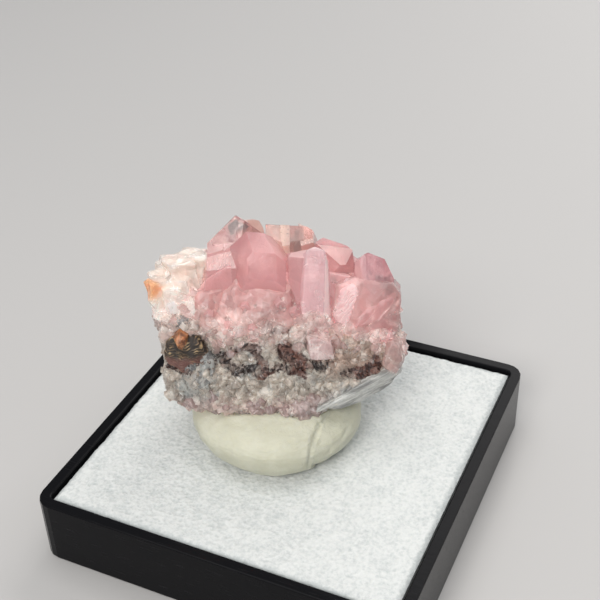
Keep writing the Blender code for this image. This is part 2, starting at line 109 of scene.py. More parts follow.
# %% A plain material and its shader
def principled(name, **values):
    """A new material, with values set on its Principled shader's own sockets."""
    material = bpy.data.materials.new(name)
    material.use_nodes = True
    shader = material.node_tree.nodes["Principled BSDF"]
    for socket, value in values.items():
        shader.inputs[socket.replace("_", " ")].default_value = value
    return material, shader


# %% Floor
FLOOR_SIZE = 3.0
FLOOR_DROP = 0.02 * MM
bpy.ops.object.select_all(action="DESELECT")
bpy.ops.mesh.primitive_plane_add(size=FLOOR_SIZE, location=(0, 0, -FLOOR_DROP))
floor = bpy.context.object
floor.name = "floor"
floor_material, _ = principled("pale_floor", Base_Color=(0.50, 0.49, 0.48, 1), Roughness=0.6)
floor.data.materials.append(floor_material)
print("floor", FLOOR_SIZE, "m wide")

# %% Lamps: name, place and side in millimetres, power in watts, colour
LAMPS = (
    ("overhead", (-30, 0, 330), 260, 0.45, (1.0, 0.985, 0.96)),
    ("key_front", (12, -240, 215), 120, 0.63, (1.0, 0.975, 0.95)),
    ("from_behind", (50, 250, 190), 240, 0.50, (1.0, 0.98, 0.96)),
)
LAMPS_FACE = Vector((0, 0, 14))


def soft_lamp(name, place, side, power, colour):
    """A square lamp that faces the specimen."""
    data = bpy.data.lights.new(name, "AREA")
    data.shape = "SQUARE"
    data.size = side * MM
    data.energy = power
    data.color = colour
    lamp = added(name, data)
    lamp.location = Vector(place) * MM
    lamp.rotation_euler = (Vector(place) - LAMPS_FACE).to_track_quat("Z", "Y").to_euler()
    return lamp


print("lamps:", ", ".join(soft_lamp(*values).name for values in LAMPS))

# %% The light of the room
ROOM_TINT = (0.80, 0.84, 0.90, 1)
ROOM_STRENGTH = 0.33
world = bpy.data.worlds.new("studio")
world.use_nodes = True
world.node_tree.nodes["Background"].inputs["Color"].default_value = ROOM_TINT
world.node_tree.nodes["Background"].inputs["Strength"].default_value = ROOM_STRENGTH
bpy.context.scene.world = world
bpy.context.scene.view_settings.view_transform = "Standard"
print("room light at strength", ROOM_STRENGTH)

# %% [markdown]
# ## Working on one piece at a time
# Blender's editing tools act on whatever is selected, and the loaded solids start out selected. So
# each piece is picked out alone before anything is done to it. The slice is the tool that does most
# of the shaping below: a flat cut, as a cleaver would make, that drops one side and closes the hole.


# %% Select, open and close a piece
def only(piece):
    """Select one piece alone and make it the active one."""
    bpy.ops.object.select_all(action="DESELECT")
    piece.select_set(True)
    bpy.context.view_layer.objects.active = piece


def edit(piece):
    """Open a piece in edit mode with all of it selected."""
    only(piece)
    bpy.ops.object.mode_set(mode="EDIT")
    bpy.ops.mesh.select_mode(type="FACE")
    bpy.ops.mesh.select_all(action="SELECT")


def done():
    """Leave edit mode."""
    bpy.ops.object.mode_set(mode="OBJECT")


# %% Slice the open piece
SLICE_THRESHOLD = 1e-5


def slice_off(point, facing):
    """Cut the open piece along a plane, drop what lies in front of it and close the cut."""
    bpy.ops.mesh.select_all(action="SELECT")
    bpy.ops.mesh.bisect(plane_co=point, plane_no=facing, use_fill=True, clear_outer=True, clear_inner=False,
                        threshold=SLICE_THRESHOLD)


# %% Start and finish a piece
SAME_PLACE = 1e-6
SAME_PLANE = math.radians(1.0)


def apply_modifiers(piece):
    """Turn a piece's modifiers into plain mesh."""
    only(piece)
    for modifier in list(piece.modifiers):
        bpy.ops.object.modifier_apply(modifier=modifier.name)


def copy_of(node, name):
    """A piece that starts as a solid's mesh, with its loose triangles joined up."""
    piece = added(name, nodes[node].data.copy())
    piece.data.materials.clear()
    edit(piece)
    bpy.ops.mesh.remove_doubles(threshold=SAME_PLACE)
    bpy.ops.mesh.dissolve_limited(angle_limit=SAME_PLANE)
    done()
    return piece


def finish_piece(piece, material, stands_for=(), lets_light_through=False):
    """Give a piece its material, slot and body. Where light goes through, it casts no shadow."""
    piece.data.materials.clear()
    piece.data.materials.append(material)
    piece.visible_shadow = not lets_light_through
    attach(piece, "root")
    if stands_for:
        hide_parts(*stands_for)
    triangles = sum(len(face.vertices) - 2 for face in piece.data.polygons)
    print(f"{piece.name}: {triangles} triangles")


# %% [markdown]
# ## Crystals
# Calcite grows as blocks bounded by flat faces. Each crystal here starts as a cube, and the slice
# cuts it once along each side of an outline and once for each face across its front. That is nearer
# to how a crystal is bounded than a mesh drawn corner by corner, and its faces stay truly flat. All
# sizes are in the specimen's own millimetres. The crystals grow through each other, as real ones
# do, so faces show inside the clear ones.
#
# A crystal's values: outline, its corners across and up, taken from right to left along the top;
# depth, how deep that outline lies; spread, how many degrees each side leans out toward the back,
# or in where it is negative; back, where the crystal ends; faces, a point on each of the faces that
# bound it across and the way that it faces; and last, the way of each paler face and how pale it
# is. Most of those faces are frosted, and the upright's thin right bevel has a painted highlight.

# %% The core, the peak and the big crystal in the middle
CRYSTALS = {
    "mass": {
        "outline": ((3.0, 11.6), (-5.6, 11.4), (-7.0, 9.6), (-7.0, 7.4), (9.0, 5.2), (9.2, 8.8), (7.0, 10.8)),
        "spread": (-10, -8, 4, 0, 0, -8, -12), "depth": 1.2, "back": 9.0,
        "faces": (((0.0, 0.9, 9.0), (0.0, -1, 0.10)), ((-5.0, 8.0, 9.0), (-0.4, 1, 0.3)),
                  ((6.0, 7.8, 9.0), (0.5, 1, 0.3))),
    },
    "peak": {
        "outline": ((-3.35, 16.1), (-5.65, 13.8), (-5.75, 12.1), (-5.3, 7.2), (-0.8, 7.2), (-0.9, 14.4)),
        "spread": (-26, 0, 6, 0, 0, -22), "depth": 2.5, "back": 5.2,
        "faces": (((-4.4, 2.3, 13.6), (-0.16, -1, 0.30)), ((-3.0, 2.2, 14.6), (0.60, -1, 0.20)),
                  ((-4.8, 1.7, 11.4), (-0.30, -1, -0.10))),
    },
    "middle": {
        "outline": ((-2.45, 14.9), (-3.83, 13.6), (-3.85, 11.1), (-3.0, 8.0), (0.5, 8.0), (0.72, 12.85),
                    (-1.1, 14.7)),
        "spread": (29, 33, 20, 12, 3, 3, 25), "depth": 1.4, "back": 4.2,
        "faces": (((-1.0, -0.9, 12.4), (0.06, -1, 0.14)), ((-1.2, -0.75, 11.2), (-0.10, -1, -0.75)),
                  ((0.4, -0.5, 12.0), (0.80, -1, 0.10)), ((-2.45, 1.4, 14.9), (-0.66, 0.45, 0.72)),
                  ((-2.45, 1.4, 14.9), (0.12, 0.45, 1)), ((-3.85, 1.5, 12.4), (-1, 0.10, 0.05))),
    },
}
print("outlines drawn:", ", ".join(CRYSTALS))

# %% [markdown]
# ### The flat-topped crystal
# This one is clear, and its inside looks like a few blocks of different tints side by side. So it
# is cut with smaller ones set into it: a pale window, a cream wedge, a dark window and a coral
# block. The dark window's tint is the dark backdrop seen through the clear crystal, painted in.
# Their upper sides slope down toward the back by 22 degrees, as its own does. The last one here is
# a frosted tip that shows behind the peak.

# %% The flat top, its blocks and the tip behind the peak
CRYSTALS.update({
    "flat_top": {
        "outline": ((2.3, 14.5), (-1.0, 14.8), (-1.0, 7.6), (2.7, 7.6), (3.0, 13.0), (2.9, 14.0)),
        "spread": (-22, 0, 0, 4, 4, -20), "depth": 4.0, "back": 7.0,
        "faces": (((0.75, 1.9, 13), (-0.42, -1, 0.04)), ((0.75, 1.9, 13), (0.40, -1, 0.08)),
                  ((0.8, 3.6, 14.6), (0.05, -0.50, 0.86))),
    },
    "top_window": {
        "outline": ((0.62, 14.65), (-1.0, 14.78), (-1.0, 11.8), (0.62, 11.8)),
        "spread": (-22, 0, 0, 0), "depth": 3.95, "back": 6.6,
        "faces": (((0.75, 1.82, 13), (-0.42, -1, 0.10)), ((0.8, 3.57, 14.65), (0.02, -0.50, 0.86))),
        "frost_and_highlight": (((0.02, -0.50, 0.86), 0.7),),
    },
    "top_wedge": {
        "outline": ((0.95, 14.66), (0.18, 14.72), (0.20, 14.0), (0.74, 12.4), (0.95, 12.2)),
        "spread": (-22, 0, 0, 0, 0), "depth": 3.95, "back": 6.6,
        "faces": (((0.7, 1.66, 13), (0.10, -1, 0.02)), ((0.8, 3.50, 14.68), (0.08, -0.50, 0.86))),
        "frost_and_highlight": (((0.10, -1, 0.02), 0.3), ((0.08, -0.50, 0.86), 0.8)),
    },
    # Painted: this window's darker tint stands for the dark backdrop seen through clear calcite.
    "top_dark_window": {
        "outline": ((2.05, 14.50), (0.93, 14.61), (0.93, 11.8), (2.15, 11.8)),
        "spread": (-22, 0, 0, 0), "depth": 3.95, "back": 6.6,
        "faces": (((0.9, 2.0, 13), (0.22, -1, 0.14)), ((0.8, 3.57, 14.65), (0.06, -0.50, 0.86))),
    },
    "top_coral": {
        "outline": ((2.3, 14.52), (1.62, 14.9), (1.78, 13.6), (2.1, 12.2), (3.02, 12.2), (3.02, 13.1),
                    (2.92, 14.05)),
        "spread": (-22, 0, 0, 0, 4, 4, -20), "depth": 3.9, "back": 6.6,
        "faces": (((2.0, 1.95, 13.5), (0.50, -1, 0.20)), ((0.8, 3.55, 14.66), (0.16, -0.50, 0.86))),
        "frost_and_highlight": (((0.16, -0.50, 0.86), 0.8),),
    },
    "behind_peak": {
        "outline": ((-1.55, 14.88), (-2.06, 14.99), (-2.72, 14.92), (-3.2, 14.4), (-3.1, 12.6), (-1.2, 12.6),
                    (-1.2, 14.15)),
        "spread": (-22, -22, -16, 0, 0, 4, -14), "depth": 5.0, "back": 7.2,
        "faces": (((-2.0, 4.4, 13.6), (0.25, -1, 0.22)), ((-2.7, 4.4, 13.8), (-0.45, -1, 0.22))),
        "frost_and_highlight": (((0.25, -1, 0.22), 0.6), ((-0.45, -1, 0.22), 0.9)),
    },
})
print("outlines drawn:", ", ".join(CRYSTALS))

# %% [markdown]
# ### The upright and the crystals at the right
# The upright is a narrow prism in front of the rest. A thin bevel along its right edge carries a
# painted highlight, its palest face, and a smaller crystal stands at its left. To its right stand a
# ridge with a frosted front face and a deeper pink peak, and below those lies the crystal that broke.

# %% The upright and the crystals at the right
CRYSTALS.update({
    "beside_upright": {
        "outline": ((2.26, 13.6), (1.2, 13.4), (0.8, 13.1), (0.8, 11.0), (1.3, 9.5), (2.4, 9.5)),
        "spread": (-14, 12, 8, 6, 0, 0), "depth": 0.2, "back": 3.0,
        "faces": (((1.6, -0.15, 12), (-0.25, -1, 0.06)), ((1.8, 0.2, 13.3), (-0.10, -0.6, 0.8))),
        "frost_and_highlight": (((-0.10, -0.6, 0.8), 0.7),),
    },
    "upright": {
        "outline": ((2.9, 14.1), (2.3, 13.8), (2.05, 12.2), (1.72, 9.6), (1.7, 8.1), (3.95, 7.9),
                    (3.88, 12.9), (3.70, 13.7)),
        "spread": (-22, 20, 26, 14, 0, 12, -10, -24), "depth": -0.6, "back": 3.0,
        "faces": (((2.6, -0.75, 11), (-0.04, -1, 0.08)), ((3.1, -0.62, 13.75), (0.10, -0.8, 0.9)),
                  ((3.78, -0.66, 11), (0.80, -1, 0.04))),
        # The right bevel's paleness is a painted highlight. The top face's paleness is frost.
        "frost_and_highlight": (((0.80, -1, 0.04), 1.0), ((0.10, -0.8, 0.9), 0.5)),
    },
    "right_ridge": {
        "outline": ((3.6, 14.1), (3.0, 13.7), (2.8, 11.0), (3.0, 7.0), (5.9, 7.0), (6.0, 12.2), (5.9, 13.0),
                    (5.45, 13.35)),
        "spread": (-20, 0, 0, 0, 4, 0, -14, -22), "depth": 2.0, "back": 4.8,
        "faces": (((4.5, 1.4, 12.2), (0.06, -1, 0.24)), ((3.5, 1.3, 12.6), (-0.70, -1, -0.10)),
                  ((5.25, 1.35, 11.8), (0.85, -1, -0.20)), ((4.4, 1.62, 13.34), (0.12, -0.75, 0.66)),
                  ((4.38, 1.35, 12.55), (-0.75, -0.80, -0.66)), ((5.0, 1.3, 12.0), (0.05, -0.70, -1))),
        "frost_and_highlight": (((0.06, -1, 0.24), 1.0), ((-0.70, -1, -0.10), 0.3)),
    },
    "right_peak": {
        "outline": ((7.1, 12.85), (6.75, 12.7), (6.05, 12.1), (5.9, 6.6), (9.3, 6.6), (9.15, 10.7),
                    (8.45, 12.25)),
        "spread": (-20, -12, 0, 0, 2, -4, -20), "depth": 1.5, "back": 4.6,
        "faces": (((7.4, 0.8, 11.2), (0.05, -1, 0.26)), ((6.5, 0.8, 11.0), (-0.75, -1, 0.15)),
                  ((8.6, 1.0, 11.0), (0.80, -1, 0.25))),
        "frost_and_highlight": (((-0.75, -1, 0.15), 0.5),),
    },
    "right_broken": {
        "outline": ((6.0, 11.2), (4.45, 10.7), (4.1, 8.2), (4.9, 7.0), (9.0, 6.0), (9.5, 6.8), (9.6, 9.7),
                    (8.9, 10.7)),
        "spread": (-6, 14, 10, 4, 4, 4, 2, -8), "depth": 0.2, "back": 3.4,
        "faces": (((5.6, -0.75, 9.2), (-0.52, -1, 0.10)), ((7.2, -0.95, 8.6), (0.12, -1, 0.16)),
                  ((8.6, -0.6, 8.4), (0.55, -1, 0.10)), ((6.8, -0.8, 7.4), (0.25, -1, -0.60)),
                  ((6.4, -0.75, 10.2), (0.0, -1, 0.75))),
    },
})
print("outlines drawn:", ", ".join(CRYSTALS))

# %% [markdown]
# ### Steps and low crystals
# Two steps climb at the left of the big crystal. The low ones along the foot are broken and cloudy,
# and their skins are roughened later.

# %% Steps and low crystals
CRYSTALS.update({
    "step_left": {
        "outline": ((-3.6, 13.4), (-5.65, 12.9), (-5.75, 10.8), (-5.2, 7.4), (-3.0, 7.4), (-3.2, 13.4)),
        "spread": (0, 4, 6, 0, 0, 10), "depth": 1.0, "back": 3.2,
        "faces": (((-4.7, 0.75, 11.6), (-0.10, -1, -0.06)), ((-4.6, 0.9, 12.4), (-0.15, -1, 0.50))),
        "frost_and_highlight": (((-0.15, -1, 0.50), 0.8),),
    },
    "step_low": {
        "outline": ((-3.7, 12.3), (-5.5, 12.3), (-5.75, 11.2), (-6.5, 10.7), (-6.3, 9.9), (-3.6, 9.9)),
        "spread": (4, 6, 6, 6, 0, 0), "depth": 0.4, "back": 3.0,
        "faces": (((-4.6, 0.42, 11.5), (-0.08, -1, -0.04)), ((-5.9, 0.50, 10.8), (-0.5, -1, 0.30))),
        "frost_and_highlight": (((-0.5, -1, 0.30), 0.6),),
    },
    "low_left": {
        "outline": ((-6.1, 10.4), (-7.3, 9.9), (-7.7, 9.0), (-7.2, 7.8), (-4.6, 7.5), (-4.4, 10.4)),
        "spread": (10, 10, 6, 0, 4, 8), "depth": 0.4, "back": 3.4,
        "faces": (((-5.9, -0.15, 9.4), (-0.20, -1, 0.25)), ((-6.6, 0.0, 9.2), (-0.70, -1, 0.05)),
                  ((-5.0, 0.05, 9.0), (0.50, -1, 0.10))),
    },
    "low_middle": {
        "outline": ((-1.6, 10.9), (-3.4, 10.3), (-3.9, 8.4), (-2.8, 6.9), (0.2, 6.7), (1.2, 8.2),
                    (0.9, 10.4)),
        "spread": (20, 20, 12, 0, 0, 12, 18), "depth": 0.0, "back": 2.4,
        "faces": (((-1.4, -0.85, 9.4), (-0.25, -1, 0.30)), ((0.0, -0.8, 9.2), (0.45, -1, 0.20)),
                  ((-1.2, -0.8, 8.2), (0.05, -1, -0.50))),
    },
    "leaning_left": {
        "outline": ((-3.3, 11.0), (-4.5, 10.2), (-5.1, 8.2), (-4.6, 7.1), (-2.4, 7.1), (-2.3, 10.2)),
        "spread": (16, 14, 10, 0, 0, 10), "depth": 0.1, "back": 2.6,
        "faces": (((-3.8, -0.55, 9.2), (-0.35, -1, 0.18)), ((-3.0, -0.5, 9.4), (0.45, -1, 0.25))),
    },
})
print("outlines drawn:", len(CRYSTALS))

# %% [markdown]
# ### Cutting a crystal
# Each side of the outline gives a plane that stands on it and leans by the side's spread. After the
# cuts, corners that fell together are merged. Each face then looks for its own way among the paler
# ones, the frosted ways and the one with a painted highlight, and keeps the amount as an attribute,
# which the material reads.

# %% Planes and frost of a crystal
SAME_FACE = 0.985


def side_planes(outline, spreads):
    """A point and a facing for each side of an outline."""
    for index, spread in enumerate(spreads):
        along = outline[(index + 1) % len(outline)] - outline[index]
        outward = Vector((along.z, 0, -along.x)).normalized()
        yield outline[index], (outward - Vector((0, math.tan(math.radians(spread)), 0))).normalized()


def keep_frost_and_highlight(crystal, frost_and_highlight_ways):
    """Keep on each face how pale it is: frost on most faces, and a painted highlight on the upright's bevel.
    """
    frost_and_highlight = crystal.data.attributes.new("frost_and_highlight", "FLOAT", "FACE")
    for face in crystal.data.polygons:
        matches = [amount for facing, amount in frost_and_highlight_ways
                   if face.normal.dot(Vector(facing).normalized()) > SAME_FACE]
        frost_and_highlight.data[face.index].value = max(matches, default=0.0)


# %% Cut one crystal
UNCUT_SIDE = 30
SAME_CORNER = 0.01


def outlined_crystal(name, values):
    """A cube cut along each side of an outline at a depth, then across its front and its back."""
    outline = [Vector((x, values["depth"], z)) for x, z in values["outline"]]
    middle = sum(outline, Vector()) / len(outline)
    middle.y = (values["depth"] + values["back"]) / 2
    bpy.ops.object.select_all(action="DESELECT")
    bpy.ops.mesh.primitive_cube_add(size=UNCUT_SIDE, location=middle)
    crystal = bpy.context.object
    crystal.name = name
    only(crystal)
    bpy.ops.object.transform_apply(location=True, rotation=True, scale=True)
    edit(crystal)
    for point, facing in side_planes(outline, values["spread"]):
        slice_off(point, facing)
    for point, facing in values["faces"]:
        slice_off(point, Vector(facing).normalized())
    slice_off((0, values["back"], 0), (0, 1, 0))
    bpy.ops.mesh.select_all(action="SELECT")
    bpy.ops.mesh.remove_doubles(threshold=SAME_CORNER)
    bpy.ops.mesh.normals_make_consistent(inside=False)
    done()
    keep_frost_and_highlight(crystal, values.get("frost_and_highlight", ()))
    return crystal


# %% Cut them all
crystals = {name: outlined_crystal(name, values) for name, values in CRYSTALS.items()}
print("cut", len(crystals), "crystals")

# %% [markdown]
# ## Lesser crystals
# Between the big ones stand six-sided prisms. Their ends are three cleavage faces at 44.6 degrees
# that meet in a point, the shape that calcite breaks and grows to. A cone with six sides gives the
# prism and its slight taper, and three slices give the point. The points that poke out at the front
# are drawn in the same way, and then reach a little further.

# %% Lesser crystals and front points: foot, tip, width, and turn in degrees
LESSER_CRYSTALS = (
    ((-2.3, 6.6, 7.4), (-1.9, 6.6, 13.6), 2.0, 10), ((0.9, 3.0, 7.0), (1.0, 2.0, 13.0), 2.2, 30),
    ((-4.6, 6.6, 8.0), (-5.4, 7.2, 12.6), 3.4, 20), ((-3.0, 8.2, 8.0), (-3.6, 9.2, 13.0), 3.6, 40),
    ((0.6, 8.4, 7.6), (0.2, 9.6, 12.8), 3.9, 15), ((3.6, 7.2, 7.4), (4.2, 7.6, 12.3), 3.6, 50),
    ((6.4, 6.4, 6.6), (7.0, 6.8, 11.2), 3.4, 5), ((7.6, 4.2, 6.0), (8.8, 4.4, 10.4), 2.6, 35),
    ((4.6, 9.0, 7.0), (5.4, 10.4, 11.0), 3.2, 30), ((-1.8, 9.6, 7.6), (-2.2, 11.0, 11.4), 2.8, 0),
)
FRONT_POINTS = (
    ((3.9, 1.6, 7.4), (4.3, 0.5, 10.6), 1.9, 20), ((8.1, 1.4, 6.0), (8.7, 0.5, 9.4), 2.0, 10),
    ((-2.8, 1.0, 8.4), (-2.6, -0.7, 9.5), 1.0, 15), ((-0.4, 0.8, 8.6), (0.1, -1.0, 9.8), 1.1, 40),
    ((0.9, 1.0, 8.0), (1.2, -0.8, 8.9), 1.0, 5), ((-5.4, 1.2, 8.2), (-5.6, -0.5, 8.8), 0.9, 30),
    ((-4.2, 1.2, 7.8), (-4.0, -0.7, 7.9), 0.9, 50), ((-1.8, 1.2, 7.5), (-2.2, -0.8, 7.6), 1.0, 20),
    ((4.6, 1.2, 7.4), (4.4, 0.0, 7.6), 1.0, 35), ((6.2, 1.2, 7.0), (6.0, -0.5, 6.6), 1.0, 10),
    ((8.2, 1.2, 6.8), (8.6, -0.5, 6.4), 1.0, 25), ((2.2, 1.0, 7.4), (2.15, -0.75, 8.5), 1.1, 20),
    ((3.3, 1.0, 7.2), (3.4, -0.75, 8.3), 1.0, 50), ((2.7, 1.0, 6.8), (2.75, -0.8, 7.7), 0.9, 0),
)
FRONT_REACH = 0.2
print("lesser crystals:", len(LESSER_CRYSTALS), "and front points:", len(FRONT_POINTS))

# %% A prism with a point
CLEAVAGE_SLOPE = math.radians(44.6)
CLEAVAGE_WAYS = [Vector((math.sin(CLEAVAGE_SLOPE) * math.cos(math.radians(angle)),
                         math.sin(CLEAVAGE_SLOPE) * math.sin(math.radians(angle)),
                         math.cos(CLEAVAGE_SLOPE))) for angle in (30, 150, 270)]
PRISM_TAPER = 0.92


def prism(foot, tip, width, turn):
    """A six-sided prism from foot to tip, its end cut by three faces that meet at the tip."""
    foot, tip = Vector(foot), Vector(tip)
    along = tip - foot
    upright = along.to_track_quat("Z", "X").to_matrix().to_4x4()
    place = Matrix.Translation((foot + tip) / 2) @ upright @ Matrix.Rotation(math.radians(turn), 4, "Z")
    bpy.ops.object.select_all(action="DESELECT")
    bpy.ops.mesh.primitive_cone_add(
        vertices=6, radius1=width / 2, radius2=width / 2 * PRISM_TAPER, depth=along.length)
    crystal = bpy.context.object
    crystal.data.transform(place)
    edit(crystal)
    for facing in CLEAVAGE_WAYS:
        slice_off(tip, place.to_3x3() @ facing)
    bpy.ops.mesh.select_all(action="SELECT")
    bpy.ops.mesh.normals_make_consistent(inside=False)
    done()
    return crystal


# %% Cut the lesser crystals
lesser = [prism(*values) for values in LESSER_CRYSTALS]
for foot, tip, width, turn in FRONT_POINTS:
    reach = (Vector(tip) - Vector(foot)).normalized() * FRONT_REACH
    lesser.append(prism(foot, Vector(tip) + reach, width, turn))
print("cut", len(lesser), "lesser crystals")

# %% [markdown]
# ## Joining pieces and roughening skins
# The crystals above are clean, and real ones are not. A bevel wears the edges of a piece. A voxel
# remesh gives it an even skin of small faces, which a procedural texture can raise and a decimation
# can break into uneven facets. Each is a modifier and is applied at once. Sizes stay in the
# specimen's millimetres until the piece is carried to its place in the tray.


# %% Join pieces and wear their edges
def join(pieces, name):
    """Make one piece of several."""
    bpy.ops.object.select_all(action="DESELECT")
    for piece in pieces:
        piece.select_set(True)
    bpy.context.view_layer.objects.active = pieces[0]
    if len(pieces) > 1:
        bpy.ops.object.join()
    pieces[0].name = name
    return pieces[0]


def worn_edges(piece, width, segments=2, angle=20):
    """Round off a piece's edges a little, in the units it is in."""
    bevel = piece.modifiers.new("worn_edges", "BEVEL")
    bevel.width = width
    bevel.segments = segments
    bevel.limit_method = "ANGLE"
    bevel.angle_limit = math.radians(angle)
    apply_modifiers(piece)


# %% Carry a piece between the tray's metres and the specimen's millimetres
def into_place(piece):
    """Carry a piece from the specimen's millimetres to its place in the tray."""
    piece.data.transform(PLACE)


def off_the_tray(piece):
    """Bring a piece from its place in the tray to the specimen's own millimetres."""
    piece.data.transform(UNPLACE)


def finish_in_cluster(piece, material, lets_light_through=True):
    """Carry a piece of the crystal cluster into place and finish it."""
    into_place(piece)
    finish_piece(piece, material, ("crystal_cluster",), lets_light_through)


# %% Remesh, raise, smooth and break a skin
def remeshed(piece, voxel):
    """Give a piece an even skin of small faces."""
    remesh = piece.modifiers.new("skin", "REMESH")
    remesh.mode = "VOXEL"
    remesh.voxel_size = voxel
    apply_modifiers(piece)


def raised(piece, kind, size, height, middle=0.5, **settings):
    """Displace a piece along its normals by one procedural texture."""
    texture = bpy.data.textures.new(piece.name + "_" + kind.lower(), kind)
    texture.noise_scale = size
    for key, value in settings.items():
        setattr(texture, key, value)
    displace = piece.modifiers.new("raised", "DISPLACE")
    displace.texture = texture
    displace.texture_coords = "LOCAL"
    displace.mid_level = middle
    displace.strength = height
    apply_modifiers(piece)
    bpy.data.textures.remove(texture)


def smoothed(piece, rounds):
    """Relax a piece's skin and shade it smooth."""
    relax = piece.modifiers.new("relax", "SMOOTH")
    relax.factor = 0.5
    relax.iterations = rounds
    apply_modifiers(piece)
    only(piece)
    bpy.ops.object.shade_smooth()


def broken(piece, voxel, lump, height, keep):
    """Turn a piece's skin into the uneven facets of a break."""
    remeshed(piece, voxel)
    raised(piece, "CLOUDS", lump, height, noise_depth=1)
    facets = piece.modifiers.new("facets", "DECIMATE")
    facets.ratio = keep
    apply_modifiers(piece)
    for face in piece.data.polygons:
        face.use_smooth = False


# %% Measure and mark a skin
def gap_to_line(x, z, points):
    """How far a point of the front lies from a line of points."""
    least = math.inf
    for (ax, az), (bx, bz) in zip(points, points[1:]):
        run_x, run_z = bx - ax, bz - az
        along = ((x - ax) * run_x + (z - az) * run_z) / (run_x ** 2 + run_z ** 2)
        along = max(0.0, min(1.0, along))
        least = min(least, math.hypot(x - ax - along * run_x, z - az - along * run_z))
    return least


def with_outward(piece):
    """Each corner of a skin with its outward way, taken before any of them moves."""
    return list(zip(piece.data.vertices, [vertex.normal.copy() for vertex in piece.data.vertices]))


def keep_values(mesh, name, values):
    """Keep one value for each corner of a mesh, for its material to read."""
    mesh.attributes.new(name, "FLOAT", "POINT").data.foreach_set("value", values)


# %% [markdown]
# ## Building materials from nodes
# A few helpers keep the node trees short: one adds a node and fills its sockets, the others cover
# the sums, blends, ramps and noises that almost every stone needs. Patterns are laid out in
# millimetres, and on the specimen they follow its own axes, so a streak can run up a crystal.


# %% Node helpers
def add_node(tree, kind, settings=None, **sockets):
    """Add a node. Each socket gets a plain value, or a link from the output it is given."""
    made = tree.nodes.new(kind)
    for key, value in (settings or {}).items():
        setattr(made, key, value)
    for key, value in sockets.items():
        connect(tree, value, made.inputs[key.replace("_", " ")])
    return made


def connect(tree, value, socket):
    """Link an output to a socket, or set the socket to a plain value."""
    if isinstance(value, bpy.types.NodeSocket):
        tree.links.new(value, socket)
    else:
        socket.default_value = value


def sum_of(tree, operation, first, second=0.5, third=0.5, clamp=False):
    """One Math node."""
    made = add_node(tree, "ShaderNodeMath", {"operation": operation, "use_clamp": clamp})
    for index, value in enumerate((first, second, third)):
        connect(tree, value, made.inputs[index])
    return made.outputs[0]


def blend(tree, factor, first, second, kind="MIX"):
    """Blend two colours by a factor."""
    made = add_node(tree, "ShaderNodeMix", {"data_type": "RGBA", "blend_type": kind})
    connect(tree, factor, made.inputs[0])
    connect(tree, first, made.inputs[6])
    connect(tree, second, made.inputs[7])
    return made.outputs[2]


def step_between(tree, value, low, high, from_value=0.0, to_value=1.0):
    """Map a value smoothly from one range to another."""
    made = add_node(tree, "ShaderNodeMapRange", {"interpolation_type": "SMOOTHSTEP"}, Value=value)
    for index, number in enumerate((low, high, from_value, to_value)):
        connect(tree, number, made.inputs[index + 1])
    return made.outputs[0]


def clouds(tree, vector, scale, detail=3.0, roughness=0.55, warp=0.0):
    """Noise, as one value between 0 and 1."""
    return add_node(tree, "ShaderNodeTexNoise", Vector=vector, Scale=scale, Detail=detail,
                    Roughness=roughness, Distortion=warp).outputs[0]


def cells(tree, vector, scale, feature="F1", output="Distance"):
    """Voronoi cells."""
    made = add_node(tree, "ShaderNodeTexVoronoi", {"feature": feature}, Vector=vector, Scale=scale)
    return made.outputs[output]


def kept(tree, name):
    """A value that was kept on the mesh."""
    return add_node(tree, "ShaderNodeAttribute", {"attribute_name": name}).outputs["Fac"]


def part_of(tree, place, axis):
    """One axis of a position."""
    return add_node(tree, "ShaderNodeSeparateXYZ", Vector=place).outputs[axis]


def relief(tree, shader, height, distance, strength=1.0):
    """Feed a height in as bump, with its depth in metres."""
    made = add_node(tree, "ShaderNodeBump", Strength=strength, Distance=distance, Height=height)
    tree.links.new(made.outputs[0], shader.inputs["Normal"])


# %% Groups that give positions in millimetres
def millimetre_group(name, turn=(0, 0, 0), shift=(0, 0, 0)):
    """A node group that puts out the surface's own position in millimetres."""
    group = bpy.data.node_groups.new(name, "ShaderNodeTree")
    group.interface.new_socket(name="Position", in_out="OUTPUT", socket_type="NodeSocketVector")
    source = add_node(group, "ShaderNodeTexCoord")
    mapping = add_node(group, "ShaderNodeMapping", Vector=source.outputs["Object"], Location=shift,
                       Rotation=turn, Scale=(1 / MM, 1 / MM, 1 / MM))
    end = add_node(group, "NodeGroupOutput")
    group.links.new(mapping.outputs[0], end.inputs[0])
    return group


turned_back = TURNED.to_3x3().transposed()
tray_space = millimetre_group("tray_millimetres")
stone_space = millimetre_group(
    "specimen_millimetres", turned_back.to_euler(), -(turned_back @ SPECIMEN_AT) / MM)


def position_in(tree, group):
    """Place a position group in a material and return its output."""
    return add_node(tree, "ShaderNodeGroup", {"node_tree": group}).outputs["Position"]


def stretched(tree, vector, scale, turn=(0, 0, 0)):
    """Stretch and turn a position, for streaks and steps that run one way."""
    return add_node(tree, "ShaderNodeMapping", Vector=vector, Scale=scale, Rotation=turn).outputs[0]


# %% [markdown]
# ## Crystal material
# Cobalt tints the calcite pink through and through, so the colour comes from absorption in the
# crystal's depth, and a thick crystal is deeper pink than its thin edges. Paint on the surface would
# look the same at any thickness. The surface adds veils, where the crystal is cloudy, and fine
# growth lines that run up its sides. Some calcite has a mix of tints, in which the palest chips are
# painted glints, or a stain as well, so those are functions of their own, and one function makes
# every kind of calcite here.

# %% A mix of tints and painted glints, and a stain
GLINT_CHIP = (0.93, 0.84, 0.80, 1)
DARK_CHIP = (0.42, 0.31, 0.29, 1)


